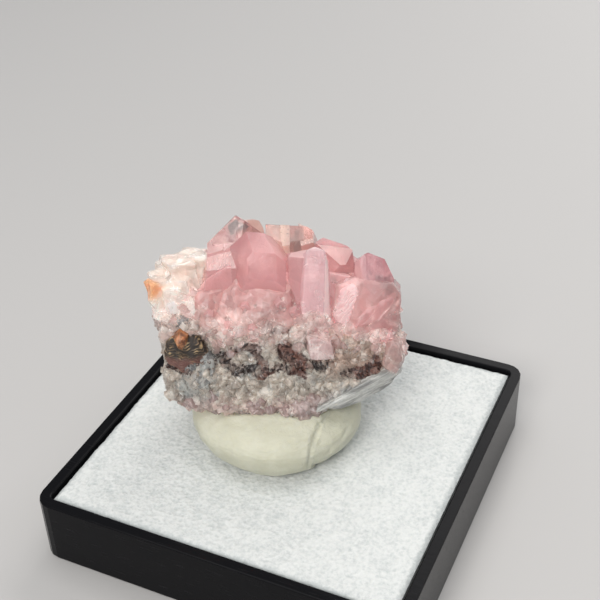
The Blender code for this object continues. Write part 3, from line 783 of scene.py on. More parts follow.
def tints_and_glints(tree, colour):
    """Make some copies in a joined mesh darker, and paint some paler as glints, by the tint each one keeps.
    """
    tint = kept(tree, "tint")
    # The palest chips are painted glints.
    colour = blend(tree, step_between(tree, tint, 0.70, 1.0), colour, GLINT_CHIP)
    return blend(tree, step_between(tree, tint, 0.30, 0.0, 0.0, 0.4), colour, DARK_CHIP)


def stained(tree, place, cloud, colour, stain):
    """Blend in a stain around a place, with an edge that a cloud makes ragged."""
    at, reach, tint = stain
    away = add_node(tree, "ShaderNodeVectorMath", {"operation": "DISTANCE"})
    connect(tree, place, away.inputs[0])
    connect(tree, at, away.inputs[1])
    spread = sum_of(tree, "MULTIPLY_ADD", cloud, -1.6 * reach, away.outputs["Value"])
    return blend(tree, step_between(tree, spread, 0.45 * reach, -0.35 * reach), colour, tint)


# %% Crystal material
COBALT_DEPTH = (0.94, 0.56, 0.60, 1)


def crystal_material(name, tint, veil_tint, clear, rough, veil, mosaic, density, lines=0.5,
                     depth_tint=COBALT_DEPTH, stain=None, mixed=False):
    """Calcite. clear is its transmission, rough its gloss, veil how cloudy it is, mosaic how broken
    inside, density how fast its depth takes up light, and lines how strong its growth lines are."""
    material, shader = principled(
        name, Transmission_Weight=clear, IOR=1.6, Subsurface_Weight=1.0, Subsurface_Scale=0.0009,
        Subsurface_Radius=(1.0, 0.85, 0.85))
    tree = material.node_tree
    place = position_in(tree, stone_space)
    cloud = clouds(tree, place, 0.8, 5.0, 0.65, 0.8)
    low = step_between(tree, part_of(tree, place, "Z"), 11.5, 7.5, 0.0, 0.16)
    veils = step_between(tree, sum_of(tree, "ADD", cloud, low), 0.74 - 0.35 * veil, 0.98 - 0.35 * veil)
    # Frost, together with the painted highlights kept with it, whitens the surface as the veils do.
    veils = sum_of(tree, "MAXIMUM", veils, kept(tree, "frost_and_highlight"))
    streaks = clouds(tree, stretched(tree, place, (5.5, 5.5, 0.35)), 1.0, 3.0, 0.6)
    blocks = cells(tree, stretched(tree, place, (1.0, 1.0, 0.7), (0.3, 0.5, 0.2)), 1.3, output="Color")
    shades = sum_of(tree, "MULTIPLY_ADD", blocks, mosaic, 1 - mosaic / 2)
    colour = blend(tree, 1.0, blend(tree, veils, (*tint, 1), (*veil_tint, 1)), shades, "MULTIPLY")
    if mixed:
        colour = tints_and_glints(tree, colour)
    if stain:
        colour = stained(tree, place, cloud, colour, stain)
    tree.links.new(colour, shader.inputs["Base Color"])
    gloss = sum_of(tree, "MULTIPLY_ADD", veils, 0.22, rough)
    tree.links.new(sum_of(tree, "MULTIPLY_ADD", streaks, 0.10, gloss), shader.inputs["Roughness"])
    wear = clouds(tree, place, 5.0, 5.0, 0.65)
    relief(tree, shader, sum_of(tree, "MULTIPLY_ADD", streaks, lines, wear), 0.00008, 0.6)
    if density:
        depth = add_node(tree, "ShaderNodeVolumeAbsorption", Color=depth_tint, Density=density)
        tree.links.new(depth.outputs[0], tree.nodes["Material Output"].inputs["Volume"])
    print("material", name)
    return material


# %% Finishes: tint, tint of its veils, clear, rough, veil, mosaic and density
FINISHES = {
    "clear_pink_calcite": ((0.56, 0.41, 0.39), (0.74, 0.61, 0.57), 0.90, 0.02, 0.25, 0.40, 110),
    "deep_pink_calcite": ((0.66, 0.41, 0.42), (0.78, 0.56, 0.54), 0.62, 0.05, 0.10, 0.10, 110),
    "frosted_pink_calcite": ((0.77, 0.57, 0.59), (0.90, 0.77, 0.76), 0.40, 0.18, 0.55, 0.06, 60),
    "milky_pink_calcite": ((0.65, 0.47, 0.45), (0.87, 0.76, 0.72), 0.62, 0.04, 0.40, 0.45, 70),
    "cloudy_pink_calcite": ((0.60, 0.38, 0.38), (0.72, 0.56, 0.54), 0.00, 0.30, 0.30, 0.35, 0),
    "veiled_pink_calcite": ((0.72, 0.53, 0.51), (0.94, 0.83, 0.80), 0.58, 0.05, 0.42, 0.40, 60),
    "deep_rose_calcite": ((0.55, 0.33, 0.36), (0.72, 0.50, 0.49), 0.62, 0.05, 0.20, 0.16, 110),
    "facet_pink_calcite": ((0.66, 0.43, 0.43), (0.86, 0.68, 0.66), 0.55, 0.04, 0.12, 0.20, 110),
    "window_calcite": ((0.54, 0.42, 0.41), (0.84, 0.66, 0.64), 0.85, 0.02, 0.42, 0.35, 110),
    "pale_window_calcite": ((0.60, 0.44, 0.39), (0.83, 0.63, 0.57), 0.50, 0.03, 0.40, 0.30, 30),
    # The dark backdrop seen through clear calcite, painted into the tint.
    "dark_backdrop_calcite": ((0.52, 0.36, 0.33), (0.76, 0.55, 0.51), 0.55, 0.03, 0.30, 0.35, 30),
    "cream_calcite": ((0.70, 0.49, 0.42), (0.88, 0.68, 0.59), 0.50, 0.06, 0.30, 0.15, 30),
    "coral_calcite": ((0.72, 0.41, 0.37), (0.90, 0.66, 0.60), 0.45, 0.04, 0.15, 0.25, 50),
    "druse_calcite": ((0.66, 0.48, 0.46), (0.86, 0.75, 0.71), 0.55, 0.04, 0.40, 0.35, 70),
    "mauve_calcite": ((0.38, 0.29, 0.28), (0.56, 0.46, 0.44), 0.35, 0.10, 0.35, 0.35, 30),
}
FINISH_EXTRAS = {"frosted_pink_calcite": {"lines": 1.2}, "druse_calcite": {"mixed": True}}
calcite = {name: crystal_material(name, *values, **FINISH_EXTRAS.get(name, {}))
           for name, values in FINISHES.items()}

# %% [markdown]
# ## Which crystal has which finish
# Crystals with one finish are joined into one piece. Three groups are broken: their values are the
# size of the skin's faces, the size of its lumps, their height, and the share of its facets that is
# kept. Four others have softer edges than the rest, each with a bevel of its own width.

# %% Group the crystals by finish
CRYSTAL_GROUPS = {
    "clear_crystals": (("flat_top",), "clear_pink_calcite"),
    "pale_window_crystals": (("top_window", "behind_peak"), "pale_window_calcite"),
    "window_crystals": (("peak",), "window_calcite"),
    "dark_backdrop_window_crystal": (("top_dark_window",), "dark_backdrop_calcite"),
    "cream_crystal": (("top_wedge",), "cream_calcite"),
    "coral_crystal": (("top_coral",), "coral_calcite"),
    "faceted_crystals": (("right_ridge", "step_left", "step_low", "beside_upright"), "facet_pink_calcite"),
    "deep_pink_crystal": (("middle",), "deep_pink_calcite"),
    "rose_crystal": (("right_peak",), "deep_rose_calcite"),
    "frosted_crystal": (("upright",), "frosted_pink_calcite"),
    "broken_crystals": (("low_left",), "milky_pink_calcite"),
    "broken_at_the_right": (("right_broken",), "milky_pink_calcite"),
    "low_crystals": (("low_middle", "leaning_left"), "veiled_pink_calcite"),
    "crystal_core": (("mass",), "cloudy_pink_calcite"),
}
BROKEN_GROUPS = {
    "broken_crystals": (0.11, 1.2, 0.55, 0.10),
    "broken_at_the_right": (0.11, 1.2, 0.28, 0.10),
    "low_crystals": (0.11, 0.9, 0.50, 0.12),
}
SOFT_EDGES = {
    "deep_pink_crystal": 0.17,
    "rose_crystal": 0.09,
    "frosted_crystal": 0.09,
    "faceted_crystals": 0.07,
}
EDGE_WEAR = 0.05
print("groups of crystals:", len(CRYSTAL_GROUPS))

# %% [markdown]
# ## Veils inside the crystals
# Clear calcite is seldom clean. Cracks run through it along its three cleavage directions, and
# shine where they turn the light back. Each veil is a thin slice of its own crystal, cut from a
# copy that is a little smaller, and then trimmed so that it ends inside. A pattern on the surface
# would stay on the surface, while a veil hangs within the crystal and shifts against its faces as
# one looks round it.


# %% A random way, and a veil
def any_way(draw):
    """A vector that favours no direction."""
    return Vector((draw.gauss(0, 1), draw.gauss(0, 1), draw.gauss(0, 1)))


VEIL_HALF = 0.008
VEIL_SHRINK = 0.94
VEIL_ASTRAY = 0.15


def veil_in(crystal, draw, at=None, way=None, trims=2, reach=(0.3, 1.1)):
    """A thin trimmed slice of one crystal, at random or at a place of its own."""
    veil = added("veil", crystal.data.copy())
    corners = [vertex.co for vertex in crystal.data.vertices]
    middle = sum(corners, Vector()) / len(corners)
    shrink = Matrix.Translation(middle) @ Matrix.Scale(VEIL_SHRINK, 4) @ Matrix.Translation(-middle)
    veil.data.transform(shrink)
    if at is None:
        weights = [draw.random() ** 2 for _ in corners]
        at = sum((corner * weight for corner, weight in zip(corners, weights)), Vector()) / sum(weights)
        astray = any_way(draw) * VEIL_ASTRAY
        way = (draw.choice(CLEAVAGE_WAYS) + astray).normalized()
    edit(veil)
    slice_off(at + way * VEIL_HALF, way)
    slice_off(at - way * VEIL_HALF, -way)
    for _ in range(trims):
        trim = any_way(draw)
        trim = (trim - way * trim.dot(way)).normalized()
        slice_off(at + trim * draw.uniform(*reach), trim)
    done()
    return veil


# %% Veils: how many in each crystal, and those with a place and a way of their own
VEILED = {"peak": 7, "flat_top": 5, "right_ridge": 2, "middle": 3, "right_peak": 3, "step_left": 2,
          "low_left": 5, "low_middle": 6, "right_broken": 6, "leaning_left": 4, "upright": 2}
PLACED_VEILS = (
    ("peak", (-4.3, 3.0, 13.6), (0.75, 0.3, -0.6)), ("peak", (-3.0, 3.0, 13.4), (0.2, -1, 0.5)),
    ("top_window", (-0.5, 2.8, 14.1), (0.2, -0.6, 1)), ("top_window", (0.1, 2.6, 13.6), (0.1, -0.7, 1)),
    ("right_peak", (7.6, 1.9, 10.9), (0.5, -1, 0.4)),
)
draw = random.Random(3)
veils = [veil_in(crystals[name], draw) for name, count in VEILED.items() for _ in range(count)]
for name, at, way in PLACED_VEILS:
    veils.append(veil_in(crystals[name], draw, Vector(at), Vector(way).normalized(), 1))
veils = [veil for veil in veils if veil.data.polygons]
veil_piece = join(veils, "inner_veils")
print("veils:", len(veils))

# %% Veil material
veil_material, veil_shader = principled(
    "inner_veil", Base_Color=(0.85, 0.68, 0.65, 1), Roughness=0.25, Transmission_Weight=0.3)
tree = veil_material.node_tree
place = position_in(tree, stone_space)
patches = clouds(tree, place, 2.2, 5.0, 0.7, 0.6)
tree.links.new(step_between(tree, patches, 0.46, 0.60, 0.0, 0.8), veil_shader.inputs["Alpha"])
finish_in_cluster(veil_piece, veil_material)

# %% [markdown]
# ## Dark inclusions
# Specks of dark mineral were shut in as the crystals grew, most of them in the dark window and
# along the right peak. They are veils too, but trimmed small, with ragged alpha for their outlines.

# %% Dark inclusions: crystal, place and way
DARK_FLECKS = (
    ("top_dark_window", (1.25, 2.35, 13.6), (0.3, -1, 0.3)),
    ("top_dark_window", (1.85, 2.35, 13.5), (-0.2, -1, 0.2)),
    ("top_dark_window", (1.35, 2.7, 13.1), (0.1, -1, 0.5)),
    ("top_dark_window", (1.7, 2.9, 13.9), (0.6, -1, 0.1)),
    ("top_window", (-0.35, 3.1, 14.25), (0.1, -0.5, 1)), ("top_window", (0.05, 2.6, 13.9), (0.2, -0.5, 1)),
    ("top_coral", (2.45, 2.6, 13.8), (0.6, -1, 0.3)), ("right_peak", (7.3, 1.0, 11.2), (0.8, -0.35, 0.6)),
    ("right_peak", (7.65, 1.0, 10.9), (0.85, -0.3, 0.6)), ("right_peak", (7.9, 1.0, 10.7), (0.7, -0.4, 0.8)),
    ("right_peak", (7.1, 1.0, 10.8), (0.9, -0.3, 0.5)),
    ("peak", (-3.4, 2.7, 14.6), (0.2, -1, 0.4)),
)
FLECK_REACH = (0.08, 0.34)
FLECK_TRIMS = 4
draw = random.Random(8)
flecks = [veil_in(crystals[name], draw, Vector(at), Vector(way).normalized(), FLECK_TRIMS, FLECK_REACH)
          for name, at, way in DARK_FLECKS]
flecks = [fleck for fleck in flecks if fleck.data.polygons]
fleck_piece = join(flecks, "dark_inclusions")
print("dark inclusions:", len(flecks))

# %% Dark inclusion material
fleck_material, fleck_shader = principled("dark_inclusion", Roughness=0.5)
tree = fleck_material.node_tree
place = position_in(tree, stone_space)
patches = clouds(tree, place, 5.0, 4.0, 0.7)
colour = blend(tree, patches, (0.05, 0.05, 0.05, 1), (0.20, 0.17, 0.16, 1))
tree.links.new(colour, fleck_shader.inputs["Base Color"])
tree.links.new(step_between(tree, patches, 0.36, 0.50, 0.0, 1.0), fleck_shader.inputs["Alpha"])
finish_in_cluster(fleck_piece, fleck_material)

# %% [markdown]
# ## The break at the right
# The crystal at the right broke in two ways. A fan of curved steps spreads from one corner, as when
# glass breaks, and beside it runs a frosted, feathered scar. Each patch starts as a fine grid. The
# grid is trimmed to the patch's outline, laid along the crystal's front, and its steps are raised.
# The fan's steps are painted paler toward their edges as highlights. The scar's steps are whiter
# toward their edges with frost.

# %% Where the broken front lies, and a cut that stays open
def front_at(values, x, z):
    """How deep the front of a cut crystal lies at a place on its outline."""
    return max(at[1] + way[0] * (x - at[0]) + way[2] * (z - at[2])
               for at, way in values["faces"] if way[1] == -1)


def slice_open(point, facing):
    """Cut the open piece along a plane and drop what lies in front of it, leaving the cut open."""
    bpy.ops.mesh.select_all(action="SELECT")
    bpy.ops.mesh.bisect(plane_co=point, plane_no=facing, clear_outer=True, clear_inner=False, use_fill=False)


# %% Patches of the break
GRID_STEP = 0.055
PATCH_THICKNESS = 0.6
PATCH_EDGE = 0.45
PATCH_EDGE_DROP = 0.45
PATCH_LIFT = 0.10


def broken_patch(name, outline, step_at):
    """A patch of the break: a grid trimmed to an outline, with steps raised over the crystal's front."""
    closed = outline + outline[:1]
    low = Vector((min(x for x, z in outline), 0, min(z for x, z in outline)))
    high = Vector((max(x for x, z in outline), 0, max(z for x, z in outline)))
    bpy.ops.object.select_all(action="DESELECT")
    bpy.ops.mesh.primitive_grid_add(
        x_subdivisions=int((high.x - low.x) / GRID_STEP), y_subdivisions=int((high.z - low.z) / GRID_STEP),
        size=1, rotation=(math.radians(90), 0, 0))
    patch = bpy.context.object
    patch.name = name
    bpy.ops.object.transform_apply(location=False, rotation=True, scale=False)
    stretch = Matrix.Diagonal((high.x - low.x, 1, high.z - low.z, 1))
    patch.data.transform(Matrix.Translation((low + high) / 2) @ stretch)
    edit(patch)
    for (ax, az), (bx, bz) in zip(closed, closed[1:]):
        slice_open((ax, 0, az), (bz - az, 0, ax - bx))
    bpy.ops.mesh.select_all(action="SELECT")
    bpy.ops.mesh.extrude_region_move(TRANSFORM_OT_translate={"value": (0, PATCH_THICKNESS, 0)})
    bpy.ops.mesh.select_all(action="SELECT")
    bpy.ops.mesh.normals_make_consistent(inside=False)
    done()
    frost_and_highlight = []
    for vertex in patch.data.vertices:
        x, z = vertex.co.x, vertex.co.z
        rise, frost_and_glint = step_at(x, z)
        edge = max(0.0, 1 - gap_to_line(x, z, closed) / PATCH_EDGE)
        if vertex.co.y < PATCH_THICKNESS / 2:
            vertex.co.y -= PATCH_LIFT + rise - PATCH_EDGE_DROP * edge ** 2
        vertex.co.y += front_at(CRYSTALS["right_broken"], x, z)
        # Kept for the material: frost on the scar, and a painted highlight at the edges of the fan's steps.
        frost_and_highlight.append(frost_and_glint * (1 - edge))
    keep_values(patch.data, "frost_and_highlight", frost_and_highlight)
    print(name, "has", len(patch.data.polygons), "faces")
    return patch


# %% The fan of curved steps
FAN_OUTLINE = ((5.55, 7.3), (6.7, 7.3), (8.0, 7.9), (8.9, 8.7), (9.4, 9.6), (9.35, 10.1), (8.7, 9.9),
               (7.4, 9.4), (6.4, 8.9), (5.75, 8.2))
FAN_CORNER = (5.5, 7.2)
FAN_CURVE = 1.05
FAN_FIRST = 15.0
FAN_STEP = 18.0
FAN_RISE = 0.30
FAN_HIGHLIGHT_WIDTH = 0.30


def fan_step(x, z):
    """Steps that start at one corner and curve upward, each rising to an edge with a painted highlight."""
    across, up = x - FAN_CORNER[0], z - FAN_CORNER[1]
    reach = math.hypot(across, up)
    turn = math.degrees(math.atan2(up, across)) - FAN_CURVE * reach ** 2
    turn += (5.0 * noise.noise(Vector((x * 0.8, 2.0, z * 0.8)))
             + 0.7 * noise.noise(Vector((x * 3, 4.0, z * 3))))
    phase = (turn - FAN_FIRST) / FAN_STEP % 1.0
    size = min(1.0, reach / 2.5) * (0.6 + 0.8 * noise.noise(Vector((turn // FAN_STEP, 0.5, reach * 0.4))))
    return FAN_RISE * phase * size, max(0.0, (FAN_HIGHLIGHT_WIDTH - phase) / FAN_HIGHLIGHT_WIDTH) ** 2


fan = broken_patch("fan_of_steps", FAN_OUTLINE, fan_step)
finish_in_cluster(fan, calcite["facet_pink_calcite"])

# %% The frosted scar
SCAR_OUTLINE = ((4.3, 9.3), (4.15, 8.3), (4.4, 7.3), (5.2, 7.0), (5.6, 7.9), (6.1, 9.3), (6.4, 10.4),
                (6.3, 11.1), (5.3, 11.1), (4.75, 10.5))
SCAR_STEP = 0.30


def scar_step(x, z):
    """Fine slanted steps, whiter toward their edges."""
    slant = z * 0.75 - x * 0.66 + 0.35 * noise.noise(Vector((x * 1.1, 0.0, z * 1.1)))
    phase = slant / SCAR_STEP % 1.0
    rise = 0.10 * phase + 0.25 * noise.noise(Vector((x * 0.9, 6.0, z * 0.9)))
    return rise, 0.4 + 0.6 * phase ** 2


scar = broken_patch("frosted_scar", SCAR_OUTLINE, scar_step)
finish_in_cluster(scar, calcite["frosted_pink_calcite"])

# %% [markdown]
# ## Finishing the crystals
# The crystals are joined by finish now and not before, because the veils needed each one by itself.
# The core is the only group that light doesn't pass, so it alone casts a shadow.

# %% Finish the groups
SOFT_EDGE_SEGMENTS = 4
SOFT_EDGE_ANGLE = math.radians(20)
for name, (members, finish) in CRYSTAL_GROUPS.items():
    piece = join([crystals[member] for member in members], name)
    if name in BROKEN_GROUPS:
        broken(piece, *BROKEN_GROUPS[name])
    elif name in SOFT_EDGES:
        worn_edges(piece, SOFT_EDGES[name], SOFT_EDGE_SEGMENTS)
        only(piece)
        bpy.ops.object.shade_smooth_by_angle(angle=SOFT_EDGE_ANGLE)
    else:
        worn_edges(piece, EDGE_WEAR)
    finish_in_cluster(piece, calcite[finish], name != "crystal_core")
lesser_piece = join(lesser, "lesser_crystals")
worn_edges(lesser_piece, EDGE_WEAR)
finish_in_cluster(lesser_piece, calcite["facet_pink_calcite"])

# %% [markdown]
# ## The small crystal
# One pale pink block grew low on the rock's front, apart from the others. It is cut from an outline
# as they are, and then broken all over, which gives it the sugary skin that a clean block lacks.

# %% Small crystal
SMALL_CRYSTAL = {
    "outline": ((2.95, 6.6), (2.15, 6.45), (2.3, 4.75), (4.2, 4.7), (4.0, 6.15)),
    "spread": (14, 12, 12, 8, 14), "depth": -0.5, "back": 0.9,
    "faces": (((3.1, -0.8, 5.8), (-0.10, -1, 0.12)), ((3.8, -0.7, 5.8), (0.5, -1, 0.0))),
}
small = outlined_crystal("small_pink_crystal", SMALL_CRYSTAL)
broken(small, 0.06, 0.5, 0.16, 0.22)
sugary = crystal_material("sugary_pink_calcite", (0.66, 0.50, 0.49), (0.90, 0.80, 0.77),
                          0.30, 0.14, 0.45, 0.30, 40, lines=0.8)
into_place(small)
finish_piece(small, sugary, ("small_crystal",), True)

# %% [markdown]
# ## Rock
# The rock is a mass of calcite grains grown together, like coarse sugar. A voxel remesh gives the
# solid's copy an even skin. Two layers of displacement raise it, broad lumps and then grains, and a
# break leaves it in uneven facets. Relief in a material alone would leave the rock's outline smooth,
# and this rock's outline is as rough as its front.


# %% Rock skin
ROCK_VOXEL = 0.15
ROCK_LUMP, ROCK_LUMP_HEIGHT = 1.6, 0.42
ROCK_GRAIN, ROCK_GRAIN_HEIGHT = 0.75, -0.34
rock = copy_of("matrix", "granular_rock")
off_the_tray(rock)
remeshed(rock, ROCK_VOXEL)
raised(rock, "CLOUDS", ROCK_LUMP, ROCK_LUMP_HEIGHT, noise_depth=2)
raised(rock, "VORONOI", ROCK_GRAIN, ROCK_GRAIN_HEIGHT, 0.4)
broken(rock, 0.11, 0.45, 0.26, 0.55)
print("rock skin:", len(rock.data.polygons), "faces")

# %% [markdown]
# ## Iron oxide in the rock
# Rusty brown oxide fills cracks in a band across the front. Each mark is a line in the specimen's
# own millimetres with a width. How near a point lies to a line is kept on the mesh as an
# attribute, and the material breaks its edge up with noise. The lines are also led astray a little
# by vector noise. Blender starts that from the clock unless it is given a seed, and then every run
# would have other marks, so it gets a seed here.

# %% Oxide marks: points along the front, half width, and how red the mark is
OXIDE_MARKS = (
    (((-4.9, 4.9), (-4.2, 4.2), (-3.6, 3.6), (-2.6, 3.9), (-1.8, 3.9), (-1.4, 3.6)), 0.24, 0.15),
    (((-4.7, 4.5), (-4.1, 4.9), (-3.6, 5.4), (-3.0, 5.7), (-2.2, 5.6), (-1.8, 5.2), (-1.7, 4.6),
      (-1.5, 3.9)), 0.25, 0.5),
    (((-1.7, 4.3), (-1.4, 3.5)), 0.30, 0.9),
    (((0.1, 5.7), (0.6, 5.4), (1.0, 4.9), (1.6, 4.4), (1.6, 3.6), (0.8, 3.6)), 0.34, 0.95),
    (((0.8, 3.6), (0.1, 3.9), (-0.6, 3.9)), 0.22, 0.3),
    (((0.2, 5.2), (0.7, 4.6), (1.1, 4.0)), 0.20, 0.7),
    (((2.8, 4.5), (3.2, 4.1), (3.8, 4.4)), 0.24, 0.1),
    (((4.9, 3.5), (5.9, 3.1)), 0.20, 0.3),
    (((5.9, 3.2), (6.6, 3.1), (7.1, 3.7), (7.7, 3.7), (7.4, 4.2)), 0.30, 0.85),
    (((-6.3, 5.6), (-5.8, 5.0), (-5.6, 4.3)), 0.22, 0.15),
    (((-8.9, 4.4), (-8.2, 4.0), (-7.4, 4.4), (-6.4, 5.0)), 0.25, 0.5),
    (((-1.4, 7.3), (-0.4, 7.2), (0.6, 7.0)), 0.12, 0.6),
)
print("oxide marks:", len(OXIDE_MARKS))

# %% How much oxide there is at a place
OXIDE_EDGE = 0.36
MOST_OXIDE = 1.5
FRONT_DEPTH = 1.6
OXIDE_SEED = 1
noise.seed_set(OXIDE_SEED)


def oxide_at(point):
    """How much oxide there is at a point, and how red it is."""
    if point.y > FRONT_DEPTH:
        return 0.0, 0.0
    best, redness = 0.0, 0.0
    astray = noise.noise_vector(point * 0.9) * 0.36 + noise.noise_vector(point * 2.6) * 0.18
    for points, half_width, red in OXIDE_MARKS:
        gap = gap_to_line(point.x + astray.x, point.z + astray.z, points)
        amount = 1 - (gap - half_width * 0.7) / OXIDE_EDGE
        if amount > best:
            best, redness = amount, red
    return min(best, MOST_OXIDE), redness


def mark_oxide(piece):
    """Keep the oxide's amount and redness on a mesh that is in the specimen's millimetres."""
    amounts, reds = zip(*(oxide_at(vertex.co) for vertex in piece.data.vertices))
    keep_values(piece.data, "oxide", amounts)
    keep_values(piece.data, "redness", reds)


# %% [markdown]
# ## Grains
# Grains stand out of the rock's skin and make it sparkle. Thousands of objects would be slow, and a
# particle system's copies still have to be made into mesh. So six broken grains are cut from cubes
# and kept as lists of corners and faces, and their copies go straight into one mesh: set into the
# skin at random, turned every way, each with a tint of its own.


# %% Grain shapes
def as_shape(piece):
    """A piece's corners and faces as plain lists. The piece itself is taken away."""
    shape = ([vertex.co.copy() for vertex in piece.data.vertices],
             [list(face.vertices) for face in piece.data.polygons])
    bpy.data.objects.remove(piece)
    return shape


def broken_grain(draw, cuts):
    """A unit cube with some slices knocked off."""
    bpy.ops.object.select_all(action="DESELECT")
    bpy.ops.mesh.primitive_cube_add(size=1)
    grain = bpy.context.object
    edit(grain)
    for _ in range(cuts):
        facing = any_way(draw).normalized()
        slice_off(facing * draw.uniform(0.34, 0.50), facing)
    done()
    return as_shape(grain)


GRAIN_KINDS = 6
GRAIN_CUTS = 4
draw = random.Random(11)
GRAIN_SHAPES = [broken_grain(draw, GRAIN_CUTS) for _ in range(GRAIN_KINDS)]
print("grain faces:", [len(faces) for _, faces in GRAIN_SHAPES])


# %% Scatter copies over a surface
def places_on(piece, count, draw, wanted):
    """Random places on a piece's faces, as often as their area says, where wanted allows."""
    faces = [face for face in piece.data.polygons if wanted(face.center, face.normal)]
    chosen = draw.choices(faces, weights=[face.area for face in faces], k=count)
    return [(face.center.copy(), face.normal.copy()) for face in chosen]


def turned_at_random(draw):
    """A turn that favours no direction."""
    axis = any_way(draw).normalized()
    return Matrix.Rotation(draw.uniform(0, math.tau), 4, axis)


def joined_copies(name, shapes, places, draw):
    """One mesh of many copies. Each place is a matrix and a tint between 0 and 1."""
    corners, faces, tints = [], [], []
    for place, tint in places:
        shape_corners, shape_faces = draw.choice(shapes)
        first = len(corners)
        corners += [place @ corner for corner in shape_corners]
        faces += [[first + corner for corner in face] for face in shape_faces]
        tints += [tint] * len(shape_corners)
    mesh = bpy.data.meshes.new(name)
    mesh.from_pydata(corners, [], faces)
    keep_values(mesh, "tint", tints)
    print(name, "has", len(places), "copies and", len(faces), "faces")
    return added(name, mesh)


# %% [markdown]
# ## The streaked facet
# At the lower right the rock split along one long grey facet, streaked from its low left to its high
# right. The block under it is cut and remeshed finely, and noise that is stretched along the streaks
# moves its skin. The displacement that raised the rock makes lumps as long as they are wide, so here
# a short function gives the height instead.

# %% Streaked facet
FACET = {
    "outline": ((9.3, 3.15), (8.5, 3.55), (7.1, 2.9), (2.85, 0.6), (2.6, 0.15), (5.1, 0.5), (6.3, 0.85),
                (7.65, 1.7), (8.7, 2.5)),
    "spread": (10, 6, 6, 0, 15, 15, 15, 15, 15), "depth": -0.1, "back": 2.0,
    "faces": (((6.3, -0.34, 1.7), (0.16, -1, -0.22)),),
}
FACET_VOXEL = 0.065
RIDGE_HEIGHT = 0.26
FINE_RIDGE_HEIGHT = 0.035


def facet_ridges(point):
    """Fine ridges that run along the facet, from its low left to its high right."""
    along, across = 0.90 * point.x + 0.42 * point.z, 0.90 * point.z - 0.42 * point.x
    broad = noise.noise(Vector((along * 0.35, point.y * 1.5, across * 2.6)))
    fine = noise.noise(Vector((along * 0.9, point.y * 4, across * 6.0)))
    return RIDGE_HEIGHT * broad + FINE_RIDGE_HEIGHT * fine


facet = outlined_crystal("streaked_facet", FACET)
remeshed(facet, FACET_VOXEL)
ridges = [facet_ridges(vertex.co) for vertex in facet.data.vertices]
for (vertex, normal), ridge in zip(with_outward(facet), ridges):
    vertex.co += normal * ridge
only(facet)
bpy.ops.object.shade_smooth()
print("facet ridges from", round(min(ridges), 2), "to", round(max(ridges), 2), "mm")

# %% [markdown]
# ## Blocks in the rock
# Three blue-grey blocks sit at the rock's left, and a pale one closes its right end. They are cut as
# the crystals are, then broken, so they look like stone and not like crystal.

# %% Blocks in the rock
GREY_BLOCKS = (
    {"outline": ((-5.9, 5.3), (-7.1, 5.2), (-7.9, 4.3), (-7.8, 3.3), (-6.9, 2.2), (-5.5, 2.8), (-5.3, 4.3)),
     "spread": (20, 24, 26, 20, 20, 20, 24), "depth": -0.1, "back": 1.6,
     "faces": (((-6.6, -0.46, 3.9), (0.0, -1, 0.1)),)},
    {"outline": ((-7.3, 8.3), (-7.9, 8.2), (-8.0, 7.7), (-7.4, 7.5)),
     "spread": (20, 24, 26, 20), "depth": -0.3, "back": 1.2,
     "faces": (((-7.6, -0.40, 7.9), (-0.3, -1, 0.4)),)},
    {"outline": ((-6.5, 8.1), (-7.1, 8.2), (-7.2, 7.7), (-6.6, 7.5)),
     "spread": (24, 20, 20, 26), "depth": -0.2, "back": 1.2,
     "faces": (((-6.9, -0.35, 7.8), (0.3, -1, 0.2)),)},
)
END_BLOCK = {
    "outline": ((9.45, 5.4), (8.9, 5.8), (8.3, 5.0), (8.1, 3.9), (8.5, 3.45), (9.2, 3.25), (9.6, 4.2)),
    "spread": (20, 16, 10, 12, 14, 18, 20), "depth": -0.1, "back": 1.8,
    "faces": (((8.9, -0.40, 4.4), (0.25, -1, -0.05)), ((8.8, -0.34, 5.2), (0.05, -1, 0.5))),
}
blocks = join([outlined_crystal("grey_block", values) for values in GREY_BLOCKS], "blue_grey_blocks")
broken(blocks, 0.09, 0.7, 0.42, 0.22)
end_block = outlined_crystal("pale_end_block", END_BLOCK)
broken(end_block, 0.09, 0.7, 0.3, 0.2)
into_place(end_block)
finish_piece(end_block, calcite["milky_pink_calcite"], ("matrix",), True)
print("blue-grey blocks:", len(blocks.data.polygons), "faces")

# %% [markdown]
# ## Where the grains go
# Coarse and fine grains cover the rock up to the line where it gives way to crystals, and a few sit
# on the blue-grey blocks. They leave bare the streaked facet, the pale end block and the underside
# at the right. Near the oxide they are smaller, so that they don't hide its marks. The coarse ones
# have rounded edges, because sharp ones look like gravel.

# %% Where rock gives way to crystals, and what stays bare
CRYSTAL_FOOT = ((-10, 9.6), (-7.8, 8.4), (-6.3, 7.8), (-3.9, 6.0), (-2.8, 6.0), (-1.4, 7.4), (0.4, 7.4),
                (1.6, 6.8), (3.0, 6.1), (5.1, 6.5), (8.3, 5.6), (10, 5.4))
FACET_LINE = ((2.6, 0.35), (5.2, 1.9), (7.1, 2.8), (8.4, 3.5), (10, 4.0))
FACET_LEFT = 2.6
END_LEFT, END_LOW, END_HIGH = 8.2, 3.2, 5.4
UNDERSIDE_LEFT = 2.5


def crystal_foot(x):
    """The height at which rock gives way to crystals."""
    line = float(np.interp(x, *zip(*CRYSTAL_FOOT)))
    line += 0.5 * noise.noise(Vector((x * 1.1, 3.7, 0.0)))
    return line + 0.25 * noise.noise(Vector((x * 2.9, 9.1, 0.0)))


